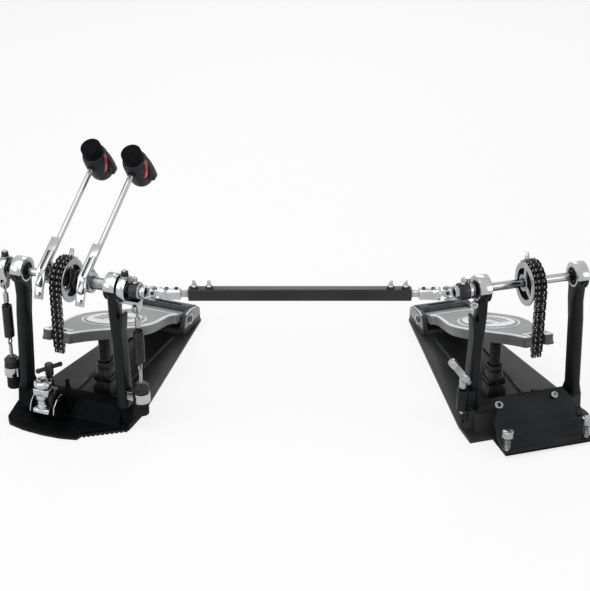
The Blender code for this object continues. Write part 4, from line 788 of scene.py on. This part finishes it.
def wheel(prefix):
    """Chain wheel: a toothless seat under the chain, and a spoked flange on the pedal's inner side."""
    side = 1 if prefix == "main" else -1
    node, body, at, across = f"{prefix}_cam", f"{prefix}_rocker", PEDALS[prefix], (side, 0, 0)
    flange = [ring_of((side * 8.6, -CAM_BACK, SHAFT_Z), across, 22.2, 30.6, 2.2, 0.8, 96)]
    for a in np.radians((90.0, 210.0, 330.0)):
        flange.append(slab(arm_outline((math.cos(a), math.sin(a)), 4.2, 3.0, 8.0, 23.5),
                           *sorted((side * 8.8, side * 10.6)), 0.4))
    flange.append(ring_of((-side * 8.0, 0, SHAFT_Z), across, 6.2, 12.0, 19.0, 0.8, 48))
    made(f"{prefix}_wheel_flange", flange, "steel", body, at, node=node)
    a = turn(96)
    rim = about_cam(26.8 - 2.2 * (np.cos(a - math.radians(-35.0)) > 0.62), a)
    inner, trimmed = about_cam(21.2, a), inset(rim, 0.4)
    low, high = sorted((-side * 8.0, side * 8.7))
    loops = [np.insert(outline, 0, x, axis=1) for outline, x in (
        (rim, low + 0.4), (rim, high - 0.4), (trimmed, high), (inner, high), (inner, low), (trimmed, low))]
    made(f"{prefix}_wheel_seat", skin(loops, looped=True), "casting", body, at)
    beta = LINK_STEP * WOUND + math.radians(17.5)
    out = np.array([0.0, -math.cos(beta), math.sin(beta)])
    centre = np.array([0.0, -CAM_BACK, SHAFT_Z])
    block = slab(arm_outline(out[1:], 4.6, 4.0, 21.5, 33.0)[::-1], *sorted((-side * 6.8, side * 9.5)), 0.7)
    stem = turned(centre + out * 32.2, out, [
        (0, 0.5), (0, 4.6), (1.8, 4.4), (2.2, 3.2), (5.8, 3.2), (5.8, 0.5)], 0.3, 28)
    head = lathe(centre + out * 37.2, out, [(0, 0.5), (0, 3.666), (5.5, 3.666), (6.1, 2.86), (6.1, 0.5)], 4)
    made(f"{prefix}_chain_clamp", [block, stem, head], "chrome", body, at, sharp=30.0)
    if prefix == "main":
        boss = turned((side * 11.2, -1.0, SHAFT_Z), across, [(0, 6.5), (0, 12.5), (3.0, 12.5), (3.4, 17.0),
                                                             (8.5, 17.0), (9.6, 15.0), (9.6, 6.5)], 0.8, 60,
                      ribs=5, rib_depth=2.5, rib_span=(3.0, 10.0))
        made("main_wheel_boss", boss, "plastic", body, at)


def bearings():
    """Dark seals and bright rims in the bearing faces, and the posts' pinch screws."""
    for prefix, which, x, shaft in (("main", "outer", -72.0, 6.0), ("main", "inner", 72.0, 8.5),
                                    ("slave", "outer", 72.0, 6.0), ("slave", "inner", -72.0, 6.0)):
        name, at = f"{prefix}_{which}", PEDALS[prefix]
        seals = [ring_of((x + s * 7.9, 0, SHAFT_Z), (s, 0, 0), shaft + 1.2, 12.6, 1.0, 0.3, 48)
                 for s in (-1, 1)]
        rims = [ring_of((x + s * 7.4, 0, SHAFT_Z), (s, 0, 0), 12.8, 15.6, 1.2, 0.4, 48) for s in (-1, 1)]
        screw = socket_screw((x, -18.5, SHAFT_Z - 6.5), (0, -1, 0.15), 3.2, 2.6)
        made(f"{name}_seals", seals, "rubber", "frames", at)
        made(f"{name}_bearing_rims", rims, "chrome", "frames", at)
        made(f"{name}_pinch_screw", screw, "dark_steel", "frames", at)


def lever_screws():
    """Black cap screws on the lever clamps, with a bright washer under each."""
    for name, x, r, body in (("left", -97.5, 15.5, "main_rocker"), ("right", 89.0, 18.0, "second_rocker")):
        washer = ring_of((x, 0, SHAFT_Z + r - 1.6), UP, 3.0, 6.2, 3.0, 0.5, 32)
        screw = socket_screw((x, 0, SHAFT_Z + r + 0.4), UP, 5.0, 7.2)
        made(f"{name}_lever_washer", washer, "chrome", body, MAIN)
        made(f"{name}_lever_screw", screw, "dark_steel", body, MAIN)


def holder_clip(name, x, body):
    """The slanted bright bar on a beater's holder, and beside it a thin dark sheet:
    painted shade of a slot.
    """
    at, holder = beater_matrix(x), f"{name}_beater_holder"
    bar = soft_slab(rect(22.2, -8.5, 25.0, 27.0), 0.6, 3, 1.0, 6.2, 0.6)
    made(f"{name}_holder_bar", bar, "chrome", body, at)
    # Painted shade: a thin dark steel sheet stands for the shaded inside of a slot.
    slot_shade = slab(rect(23.4, -6.0, 24.0, 25.0), -2.4, 0.6, 0.2)
    made(f"{name}_holder_slot_shade", slot_shade, "dark_steel", body, at)


def joints():
    """Clamp sockets of the drive link, ears and pins of its forks, and the keyed collars of the shafts."""
    for name, yaw, end, toward, rocker, fork in (
            ("main", MAIN_YAW, LINK_FROM, 1, "second_rocker", "second_sleeve"),
            ("slave", SLAVE_YAW, LINK_TO, -1, "slave_rocker", "slave_shaft")):
        rod, centre = f"link_rod_{name}", np.array([end, LINK_Y, SHAFT_Z])
        sleeve = turned(centre + (toward * 12.5, 0, 0), (toward, 0, 0), [
            (0, 5.0), (0, 7.9), (2.0, 8.6), (24.5, 8.6), (25.5, 8.0), (25.5, 5.0)], 0.8, 40)
        screws = [socket_screw(centre + (toward * d, -1.5, 7.8), (0, -0.15, 1), 2.8, 1.6, 24)
                  for d in (19.0, 32.0)]
        made(f"{name}_link_sleeve", sleeve, "chrome", "link")
        made(f"{name}_link_screws", screws, "dark_steel", "link")
        pin = next(np.array(joint["axis"]) for joint in JOINTS if joint["name"] == f"cross_{name}_pivot")
        far = np.cross((math.cos(math.radians(yaw)), math.sin(math.radians(yaw)), 0.0), pin)
        for kind, axis, body, slot in (("link", pin, "link", rod), ("rocker", far, rocker, fork)):
            axis = axis / np.linalg.norm(axis)
            ears = [stub(centre + axis * s * 8.0, axis * s, 1.3, 4.8, 0.4, 32) for s in (-1, 1)]
            pins = [stub(centre + axis * s * 9.0, axis * s, 1.0, 2.6, 0.3, 24, core=0.6) for s in (-1, 1)]
            made(f"{name}_{kind}_fork_ears", ears, "chrome", body)
            made(f"{name}_{kind}_fork_pins", pins, "dark_steel", body)
    for name, x, length, bore, off, height, body, at, slot in (
            ("second", 98.0, 12.5, 8.0, 6.2, 9.5, "second_rocker", MAIN, "second_sleeve"),
            ("slave", -106.0, 14.5, 6.2, 6.5, 10.0, "slave_rocker", SLAVE, "slave_shaft")):
        collar = ring_of((x, 0, SHAFT_Z), ALONG, bore, 12.2, length, 1.0)
        bolt = key_bolt((x + off, 0, SHAFT_Z + 10.8), height, 4.0)
        made(f"{name}_keyed_collar", collar, "dark_steel", body, at)
        made(f"{name}_collar_bolt", bolt, "chrome", body, at)


def heel(prefix):
    """Silver end plates with bare discs, a ribbed pad with a near-black block on its flat middle that paints the
    shade of a hollow, and the heel's bright edge.
    """
    outline = [(262.5, 16.5), (263.2, 24.0), (267.2, 33.0), (274.5, 37.5), (293.5, 37.5), (301.0, 36.2),
               (317.0, 30.0), (319.5, 24.0), (318.5, 16.5)]
    plates = [soft_slab(outline, 3.0, 4, *sorted((s * 45.4, s * 46.8)), 0.6) for s in (-1, 1)]
    discs = [ring_of((s * 46.2, HINGE_Y + 4.0, HINGE_Z - 2.0), (s, 0, 0), 5.8, 8.6, 1.8, 0.6, 48)
             for s in (-1, 1)]
    x, y = np.meshgrid(np.linspace(-37.5, 37.5, 60), np.linspace(294.5, 317.5, 24), indexing="ij")
    fall = np.interp(y, [294.5, 302.0, 317.5], [36.8, 36.8, 30.6])
    ribs = 0.35 * (0.5 + 0.5 * np.cos(2 * math.pi * x / 3.0)) * np.clip((36.0 - np.abs(x)) / 2.0, 0, 1)
    shut = (np.abs(x) < 22.5) & (y > 299.0) & (y < 308.0)
    top = np.stack([x, y, fall + 0.6 + np.where(shut, -0.1, ribs)], -1)
    under = np.stack([x, y, fall - 1.2], -1)
    pad = skin(np.concatenate([top, under[:, ::-1]], 1))
    fall_angle = -math.atan2(6.2, 15.5)
    # Painted shade: a thin near-black rubber block lies on the pad where a hollow would be in shade.
    recess_shade = placed(box((-22.0, -4.0, -0.6), (22.0, 4.0, 0.7), 0.4), tilted(fall_angle, 303.5, 36.8))
    right = [(45.2, at) for at in (270.0, 280.0, 290.0, 300.0)]
    right += [(35.2 + 10.0 * math.cos(a), 308.5 + 10.0 * math.sin(a)) for a in np.linspace(0, math.pi / 2, 8)]
    path = np.array(right + [(-px, py) for px, py in right[::-1]])
    height = np.interp(path[:, 1], [270.0, 274.5, 290.0, 302.0, 318.5], [36.8, 38.3, 38.3, 36.6, 30.8])
    edge = tube(np.column_stack([path, height]), 1.1)
    for name, form, material in (("plates", plates, "board_plain"), ("discs", discs, "chrome"),
                                 ("pad", pad, "heel"), ("recess_shade", recess_shade, "rubber"), ("edge", edge, "chrome")):
        made(f"{prefix}_heel_{name}", form, material, "frames", PEDALS[prefix])


def coil_seat(prefix):
    """Stepped collar and small screw on the foot of the coil under a footboard."""
    x, at, base = coil_x(prefix), PEDALS[prefix], f"{prefix}_coil_base"
    collar = ring_of((x, COIL_Y, 53.0), UP, 8.5, 12.6, 5.0, 0.8)
    step = soft_slab(rect(x - 14.2, 42.5, x + 14.2, 69.5), 4.0, 4, 33.0, 42.0, 1.0, "z")
    screw = socket_screw((x, 43.2, 37.5), (0, -1, 0), 2.0, 1.4, 20)
    made(f"{prefix}_coil_collar", [collar, step], "plastic", "frames", at)
    made(f"{prefix}_coil_screw", screw, "steel", "frames", at)


def hoop_clamp():
    """Jaw of the clamp: barrel between saddle and lip, cap with a cross, dark core; bright cheek edges."""
    x, y = -28.0, -41.0
    barrel = turned((x, y - 5.5, 29.0), UP, [
        (0, 1.0), (0, 7.6), (6.0, 7.6), (6.8, 6.8), (15.0, 6.8), (16.0, 7.6), (22.5, 7.6), (22.5, 1.0)], 0.8, 44)
    saddle = soft_slab(rect(x - 12.5, y - 10.5, x + 12.5, y + 9.0), 5.0, 5, 49.5, 60.5, 1.6, "z")
    neck = stub((x, y, 59.5), UP, 4.5, 10.5, 0.8, 48)
    cap = turned((x, y, 63.2), UP, [(0, 1.0), (0, 11.8), (1.0, 13.0), (5.8, 13.0), (8.6, 10.6), (8.6, 7.2),
                                    (7.2, 6.4), (7.2, 0.4)], 0.8, 56)
    lip = soft_slab([(y - 12.4, 22.2), (y - 13.2, 25.0), (y - 12.0, 30.0), (y - 2.0, 32.0), (y + 12.0, 32.0),
                     (y + 12.0, 26.2), (y + 5.8, 22.2)], 2.2, 4, x - 12.5, x + 12.5, 1.2)
    core = soft_slab([(y - 2.0, 27.0), (y - 3.0, 42.0), (y - 1.0, 50.0), (y + 10.0, 50.0), (y + 11.0, 27.0)],
                     2.5, 4, x - 14.0, x + 14.0, 1.2)
    tail = soft_slab(rect(x - 10.5, y + 8.0, x + 10.5, -16.2), 4.0, 4, 41.2, 48.4, 1.0, "z")
    cross = [box((x - a, y - b, 70.0), (x + a, y + b, 70.8), 0.3) for a, b in ((5.0, 1.3), (1.3, 5.0))]
    edge = eased([(y - 6.2, 12.5), (y - 6.6, 16.0), (y - 9.8, 22.2), (y - 6.8, 34.0), (y + 4.0, 42.8),
                  (y + 18.0, 42.8), (y + 25.8, 32.0), (y + 25.8, 12.5)], 5.0, 5)
    edges = [tube(np.insert(edge, 0, x + side, axis=1), 1.0, 10) for side in (-18.5, 18.5)]
    jaw = [barrel, saddle, neck, cap, lip]
    made("clamp_jaw_body", jaw, "chrome", "jaw", MAIN, node="clamp_jaw", sharp=50.0)
    made("clamp_jaw_core", [core, tail], "dark_steel", "jaw", MAIN)
    made("clamp_cap_cross", cross, "rubber", "jaw", MAIN)
    made("clamp_cheek_edges", edges, "chrome", "frames", MAIN)


def t_bolt():
    """Shaft, hub and cross bar of the clamp's T bolt."""
    x, y = -28.0, -22.0
    shank = turned((x, y, 11.0), UP, [
        (0, 0.5), (0, 3.2), (42.0, 3.2), (42.0, 5.5), (53.0, 5.5), (53.0, 4.4), (59.0, 4.4), (59.0, 6.0),
        (76.0, 6.2), (77.5, 5.0), (77.5, 0.5)], 0.8, 36)
    reach = np.array([10.7, 17.0, 0.0])
    length = 2 * float(np.linalg.norm(reach))
    end = [(0, 0.5), (0, 3.0), (4.0, 3.6), (6.0, 3.1)]
    bar = turned((x, y, 81.5) - reach, reach, end + [(length - d, r) for d, r in end[::-1]], 0.8, 32)
    made("clamp_t_bolt_body", [shank, bar], "dark_steel", "t_bolt", MAIN, node="clamp_t_bolt")


def fittings():
    """Small screws and pads that stand on the castings, and the front ends of the base plates' ribs."""
    screws = [socket_screw((-52.0, -36.5, 50.0), (0, -0.55, 0.84), 5.8, 4.0, 36),
              socket_screw((31.0, -38.5, 53.5), (0, -0.60, 0.80), 4.8, 4.0, 36)]
    stud = turned((-85.0, -8.0, 198.5), (-0.35, -1.0, 0.2), [
        (0, 1.0), (0, 5.6), (4.5, 5.6), (5.8, 4.6), (5.8, 2.4), (4.4, 2.0), (4.4, 0.4)], 0.8, 36)
    pad = box((20.0, -9.0, 32.8), (52.0, 10.0, 39.5), 1.5)
    lip = soft_slab([(-93.5, 4.0), (-90.5, 3.2), (-30.0, 3.2), (-30.0, 5.2), (-90.0, 6.0)],
                    0.8, 3, -63.0, 65.0, 0.4)
    for name, form, material, slot in (("front_plate_screws", screws, "steel", "slave_front_plate"),
                                       ("slave_post_stud", stud, "chrome", "slave_inner_post"),
                                       ("slave_beam_pad", pad, "casting", "slave_base_plate"),
                                       ("slave_front_foot", lip, "rubber", "slave_front_plate")):
        made(name, form, material, "frames", SLAVE)
    for prefix, at in PEDALS.items():
        fronts = [slab([(x - 4.0, 4.8), (x + 4.0, 4.8), (x + 2.5, 8.0), (x - 2.5, 8.0)], 44.0, 86.0, 0.6, "y")
                  for x in (-30.0, 30.0)]
        made(f"{prefix}_rib_fronts", fronts, "plate", "frames", at)


def rounded(name, kind):
    """A merged copy of one solid with its edges rounded, which stands for it."""
    mesh = frame["nodes"][name].data.copy()
    mesh.name = f"{name}_finished"
    work = bmesh.new()
    work.from_mesh(mesh)
    bmesh.ops.remove_doubles(work, verts=work.verts, dist=1e-6)
    bmesh.ops.dissolve_limit(work, angle_limit=math.radians(1.0), verts=work.verts, edges=work.edges)
    bmesh.ops.recalc_face_normals(work, faces=work.faces)
    work.to_mesh(mesh)
    work.free()
    mesh.materials.clear()
    mesh.materials.append(FINISH[kind])
    mesh.shade_smooth()
    obj = linked(f"{name}_finished", mesh)
    bevel = obj.modifiers.new("edge", "BEVEL")
    bevel.width = (1.2 if "casting" in kind else 0.5) * MM
    bevel.segments = 2
    bevel.limit_method = "ANGLE"
    bevel.angle_limit = math.radians(47.0)
    bevel.harden_normals = True
    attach(obj, next(body for body, names in BODY_NODES.items() if name in names))
    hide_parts(name)


def seen_rays(nodes, links):
    """One for rays from the camera, off gloss or through glass, else nought."""
    rays = nodes.new("ShaderNodeLightPath")
    total = rays.outputs["Is Camera Ray"]
    for kind in ("Is Glossy Ray", "Is Transmission Ray"):
        greater = math_of(nodes, "MAXIMUM")
        links.new(total, greater.inputs[0])
        links.new(rays.outputs[kind], greater.inputs[1])
        total = greater.outputs[0]
    return total


def shared(nodes, links, share, first, second, output):
    """Two shaders mixed by share on the surface of the output."""
    mix = nodes.new("ShaderNodeMixShader")
    for value, socket in zip((share, first.outputs[0], second.outputs[0]), mix.inputs):
        links.new(value, socket)
    links.new(mix.outputs[0], nodes[output].inputs["Surface"])


# Operators and panel.

FLOOR_Z = -0.0004
CAMERA_AT = (0.3123, -1.8523, 1.1212)
CAMERA_DOWN = 26.69


class MakeStage(bpy.types.Operator):
    """Pale floor, soft lamps, plain surroundings and the camera."""
    bl_idname = "double_pedal.stage"
    bl_label = "Stage"

    def execute(self, context):
        scene, stage = context.scene, context.scene.pedal_stage
        x, y = np.meshgrid(np.linspace(-6, 6, 7), np.linspace(-6, 6, 7), indexing="ij")
        points = np.stack([x, y, np.full_like(x, FLOOR_Z)], -1).reshape(-1, 3)
        i, j = np.meshgrid(np.arange(6), np.arange(6), indexing="ij")
        corner = i * 7 + j
        quads = np.stack([corner, corner + 7, corner + 8, corner + 1], -1).reshape(-1, 4)
        mesh = bpy.data.meshes.new("studio_floor")
        mesh.from_pydata(points.tolist(), [], quads.tolist())
        material, nodes, links, shader = shader_of("studio_floor")
        shader.inputs["Base Color"].default_value = (0.90, 0.90, 0.90, 1.0)
        shader.inputs["Roughness"].default_value = 0.9
        glow = nodes.new("ShaderNodeEmission")
        glow.inputs["Color"].default_value = (1.0, 1.0, 1.0, 1.0)
        glow.inputs["Strength"].default_value = 1.0
        share = math_of(nodes, "MULTIPLY", 0.78)
        links.new(seen_rays(nodes, links), share.inputs[0])
        shared(nodes, links, share.outputs[0], shader, glow, "Material Output")
        mesh.materials.append(material)
        linked("studio_floor", mesh)
        world = bpy.data.worlds.new("plain_studio")
        world.use_nodes = True
        scene.world = world
        nodes, links = world.node_tree.nodes, world.node_tree.links
        place = nodes.new("ShaderNodeTexCoord")
        split = nodes.new("ShaderNodeSeparateXYZ")
        links.new(place.outputs["Generated"], split.inputs["Vector"])
        ramp = ramp_of(nodes, (0.0, (0.42, 0.42, 0.43)), (0.75, (1.0, 1.0, 1.0)))
        links.new(split.outputs["Z"], ramp.inputs["Fac"])
        back, white = nodes["Background"], nodes.new("ShaderNodeBackground")
        back.inputs["Strength"].default_value = stage.sky
        links.new(ramp.outputs["Color"], back.inputs["Color"])
        white.inputs["Strength"].default_value = 1.0
        white.inputs["Color"].default_value = (1.0, 1.0, 1.0, 1.0)
        shared(nodes, links, seen_rays(nodes, links), back, white, "World Output")
        for name, power, size, spot, aim in (
                ("key_lamp", stage.key_power, 2.2, (-0.4, -0.6, 2.1), (0.3, 0.05, 0.1)),
                ("left_lamp", stage.fill_power, 1.0, (-1.7, -1.1, 0.9), (0.3, 0.0, 0.15)),
                ("right_lamp", stage.fill_power, 1.0, (2.3, -1.0, 1.0), (0.3, 0.0, 0.15)),
                ("back_lamp", stage.fill_power, 1.2, (0.4, 1.9, 1.5), (0.3, 0.1, 0.1))):
            lamp = bpy.data.lights.new(name, "AREA")
            lamp.energy = power
            lamp.size = size
            holder = linked(name, lamp)
            holder.location = spot
            holder.rotation_euler = (Vector(aim) - Vector(spot)).to_track_quat("-Z", "Y").to_euler()
        lens = bpy.data.cameras.new("photo_camera")
        lens.sensor_fit = "HORIZONTAL"
        lens.sensor_width = 36.0
        lens.lens = stage.lens
        lens.clip_start = 0.01
        camera = linked("photo_camera", lens)
        camera.location = CAMERA_AT
        camera.rotation_euler = (math.radians(90.0 - CAMERA_DOWN), 0.0, 0.0)
        scene.camera = camera
        scene.view_settings.view_transform = "Standard"
        return {"FINISHED"}


# Each row: name, dark, light, roughness, cloud size, grain size, bump, its depth, metallic, specular.
PLAIN_FINISHES = (
    ("heel", (0.028, 0.029, 0.031), (0.055, 0.056, 0.059), (0.50, 0.70), 90, 1100, 0.5, 0.0005, 0.0, 0.35),
    ("rubber", (0.004, 0.004, 0.004), (0.009, 0.009, 0.009), (0.65, 0.85), 60, 1200, 0.3, 0.0003, 0.0, 0.2),
    ("dark_steel", (0.016, 0.016, 0.018), (0.038, 0.038, 0.041), (0.26, 0.40), 60, 1400, 0.1, 0.0001, 0.5, 0.3),
    ("plastic", (0.006, 0.006, 0.007), (0.014, 0.014, 0.015), (0.32, 0.46), 50, 2200, 0.12, 0.0002, 0.0, 0.3),
    ("spring", (0.006, 0.006, 0.007), (0.016, 0.016, 0.017), (0.24, 0.38), 200, 2500, 0.1, 0.0001, 0.2, 0.4),
    ("head", (0.009, 0.011, 0.013), (0.019, 0.022, 0.025), (0.44, 0.60), 50, 1500, 0.3, 0.0003, 0.0, 0.25),
    ("felt", (0.002, 0.002, 0.003), (0.005, 0.005, 0.006), (0.85, 0.98), 300, 2600, 0.6, 0.0006, 0.0, 0.1),
    ("tube_black", (0.006, 0.006, 0.007), (0.012, 0.012, 0.013), (0.30, 0.44), 24, 2400, 0.15, 0.0002, 0.0, 0.35),
    ("chain", (0.004, 0.004, 0.005), (0.014, 0.014, 0.016), (0.26, 0.44), 250, 1800, 0.1, 0.0001, 0.3, 0.3),
    ("chain_rollers", (0.010, 0.010, 0.011), (0.026, 0.026, 0.028), (0.2, 0.34), 250, 1800, 0.1, 0.0001, 0.3, 0.4),
    ("chain_pins", (0.20, 0.20, 0.21), (0.42, 0.42, 0.43), (0.20, 0.34), 300, 1500, 0.05, 0.0001, 1.0, 0.5),
    ("inlay", (0.72, 0.73, 0.74), (0.86, 0.87, 0.88), (0.25, 0.40), 60, 900, 0.05, 0.0001, 0.1, 0.5),
    ("inlay_edge", (0.060, 0.060, 0.062), (0.10, 0.10, 0.11), (0.35, 0.5), 60, 900, 0.05, 0.0001, 0.0, 0.3),
)


def both(*names):
    """These names of both pedals."""
    return [f"{prefix}_{name}" for name in names for prefix in PEDALS]


def twice(*names):
    """These names of the left and the right one."""
    return [f"{side}_{name}" for name in names for side in ("left", "right")]


NODE_FINISH = {
    # The front casting takes a darker copy of the casting paint: painted shade.
    "base_casting": ["main_front_casting"],
    "casting": [*both("outer_post", "inner_post"), "slave_front_plate"],
    "plate": both("base_plate"),
    "heel": both("heel_block"),
    "rubber": ["main_sole"],
    "chrome": [*both("outer_cap", "inner_cap", "shaft"), *twice("spring_lever", "spring_bracket"),
               "clamp_jaw", "main_beater_holder", "second_beater_holder", "main_beater_rod",
               "second_beater_rod", "link_rod_main", "link_rod_slave"],
    "steel": [*both("cam"), *twice("spur", "spring_hook", "eye_rod"), "clamp_t_bolt", "key", "second_sleeve",
              "cross_main", "cross_slave"],
    "plastic": [*both("coil_base"), *twice("tension_knob")],
    "spring": [*both("coil"), *twice("spring")],
    "board": both("footboard"),
    "head": ["main_beater_head", "second_beater_head"],
    "tube_black": ["link_tube"],
    "chain": both("chain_wrap", "chain_transfer", "chain_drop"),
}
FINISH_OF = {name: kind for kind, names in NODE_FINISH.items() for name in names}


class MakeFinishes(bpy.types.Operator):
    """The procedural finishes, given to every solid of the frame."""
    bl_idname = "double_pedal.finishes"
    bl_label = "Finishes"

    def execute(self, context):
        c = context.scene.pedal_colours
        for row in PLAIN_FINISHES:
            finish(*row)
        # Each row: name, colour, dark and light factors, roughness, cloud size, grain size, bump, its depth,
        # metallic, specular, the distance of painted shade in hollows, stretch.
        for name, colour, low, high, *rest in (
                ("casting", c.casting, 0.7, 1.3, (0.34, 0.50), 30, 2600, 0.22, 0.0003, 0.0, 0.17),
                # A darker, duller copy of the casting paint for the front casting: painted shade.
                ("base_casting", c.casting, 0.25, 0.6, (0.42, 0.58), 30, 2600, 0.22, 0.0003, 0.0, 0.04),
                ("plate", c.plate, 0.7, 1.25, (0.38, 0.54), 22, 1800, 0.15, 0.0002, 0.0, 0.22),
                ("board_plain", c.board, 0.8, 1.1, (0.32, 0.5), 45, 2400, 0.2, 0.0002, 0.4, 0.5),
                ("chrome", c.chrome, 0.92, 1.08, (0.13, 0.25), 35, 900, 0.03, 0.0001, 1.0, 0.5, 0.018),
                ("key_metal", c.steel, 0.95, 1.2, (0.16, 0.30), 90, 1200, 0.06, 0.0001, 1.0, 0.5, 0.008),
                ("steel", c.steel, 0.85, 1.12, (0.18, 0.36), 60, 1400, 0.08, 0.0001, 1.0, 0.5, 0.014,
                 (1.0, 1.0, 0.35))):
            finish(name, shade(colour, low), shade(colour, high), *rest)
        finish("accent", shade(c.accent, 0.8), shade(c.accent, 1.2), (0.12, 0.22), 80, 900, 0.03, 0.0001,
               coat=0.8)
        # The first tone colour, the board's colour darkened, is painted shade on the walls and underside.
        finish("board", (0.85, 0.85, 0.86), (1.0, 1.0, 1.0), (0.36, 0.55), 45, 2400, 0.25, 0.0002, 0.35,
               tone=(shade(c.board, 0.16), tuple(c.board), tuple(c.rim)))
        for name, node in frame["nodes"].items():
            for slot in node.material_slots:
                slot.material = FINISH[FINISH_OF[name]]
        return {"FINISHED"}


class MakeChains(bpy.types.Operator):
    """The double roller chains of both pedals, run by run."""
    bl_idname = "double_pedal.chains"
    bl_label = "Chains"

    def execute(self, context):
        for prefix in PEDALS:
            for part, body, links, carried in RUNS:
                chain_run(prefix, part, f"{prefix}_{body}", links, carried, context.scene.pedal_sizes)
        return {"FINISHED"}


class MakeFootboards(bpy.types.Operator):
    """Both footboards with rims, inlays and coil cups."""
    bl_idname = "double_pedal.footboards"
    bl_label = "Footboards"

    def execute(self, context):
        for prefix in PEDALS:
            footboard(prefix, context.scene.pedal_sizes)
        return {"FINISHED"}


class MakeBeaters(bpy.types.Operator):
    """Both beaters, and the bars on their holders."""
    bl_idname = "double_pedal.beaters"
    bl_label = "Beaters"

    def execute(self, context):
        for name, x, body in BEATERS:
            beater(name, x, body, context.scene.pedal_sizes)
            holder_clip(name, x, body)
        return {"FINISHED"}


class MakeSprings(bpy.types.Operator):
    """Tension springs, rods and knobs, and the coils under the footboards."""
    bl_idname = "double_pedal.springs"
    bl_label = "Springs"

    def execute(self, context):
        sizes = context.scene.pedal_sizes
        for name, x in (("left", -100.0), ("right", 107.0)):
            tension_spring(name, x, sizes)
            tension_rod(name, x, sizes)
        for prefix in PEDALS:
            board_coil(prefix, sizes)
        return {"FINISHED"}


class MakeLink(bpy.types.Operator):
    """The drive tube with its key bolts, and the sockets, forks and collars of its joints."""
    bl_idname = "double_pedal.link"
    bl_label = "Drive link"

    def execute(self, context):
        link_tube()
        joints()
        return {"FINISHED"}


class MakeDrive(bpy.types.Operator):
    """Chain wheels, bearing seals and rims, and the screws of the levers."""
    bl_idname = "double_pedal.drive"
    bl_label = "Drive parts"

    def execute(self, context):
        for prefix in PEDALS:
            wheel(prefix)
        bearings()
        lever_screws()
        return {"FINISHED"}


class MakeHeels(bpy.types.Operator):
    """Heel plates, pads and edges, and the collars under the footboards."""
    bl_idname = "double_pedal.heels"
    bl_label = "Heels and coil feet"

    def execute(self, context):
        for prefix in PEDALS:
            heel(prefix)
            coil_seat(prefix)
        return {"FINISHED"}


class MakeClamp(bpy.types.Operator):
    """The hoop clamp and its T bolt."""
    bl_idname = "double_pedal.clamp"
    bl_label = "Hoop clamp"

    def execute(self, context):
        hoop_clamp()
        t_bolt()
        return {"FINISHED"}


class MakeFittings(bpy.types.Operator):
    """Floor spurs, drum key, and small screws."""
    bl_idname = "double_pedal.fittings"
    bl_label = "Fittings"

    def execute(self, context):
        spur("left", -60.0)
        spur("right", 60.0)
        drum_key()
        fittings()
        return {"FINISHED"}


class RoundCastings(bpy.types.Operator):
    """Rounded, finished copies of the solids that no made piece stands for, so it comes last."""
    bl_idname = "double_pedal.castings"
    bl_label = "Rounded castings"

    def execute(self, context):
        for name, kind in FINISH_OF.items():
            if name not in REPLACED:
                rounded(name, kind)
        return {"FINISHED"}


OPERATORS = (MakeStage, MakeFinishes, MakeChains, MakeFootboards, MakeBeaters, MakeSprings, MakeLink, MakeDrive,
             MakeHeels, MakeClamp, MakeFittings, RoundCastings)


class PedalPanel(bpy.types.Panel):
    """Lists the steps and their settings."""
    bl_idname = "VIEW3D_PT_double_pedal"
    bl_label = "Double Pedal"
    bl_space_type = "VIEW_3D"
    bl_region_type = "UI"
    bl_category = "Double Pedal"

    def draw(self, context):
        for group in GROUPS:
            settings = getattr(context.scene, group)
            for name in settings.bl_rna.properties.keys():
                if name not in ("rna_type", "name"):
                    self.layout.prop(settings, name)
        for operator in OPERATORS:
            self.layout.operator(operator.bl_idname)


GROUPS = {"pedal_sizes": PedalSizes, "pedal_colours": PedalColours, "pedal_stage": StageSettings}


def register():
    for cls in (*GROUPS.values(), *OPERATORS, PedalPanel):
        bpy.utils.register_class(cls)
    for name, group in GROUPS.items():
        setattr(bpy.types.Scene, name, PointerProperty(type=group))


def unregister():
    for name in GROUPS:
        delattr(bpy.types.Scene, name)
    for cls in (PedalPanel, *OPERATORS[::-1], *GROUPS.values()):
        bpy.utils.unregister_class(cls)


def main():
    register()
    for operator in OPERATORS:
        area, name = operator.bl_idname.split(".")
        getattr(getattr(bpy.ops, area), name)()


if __name__ == "__main__":
    main()
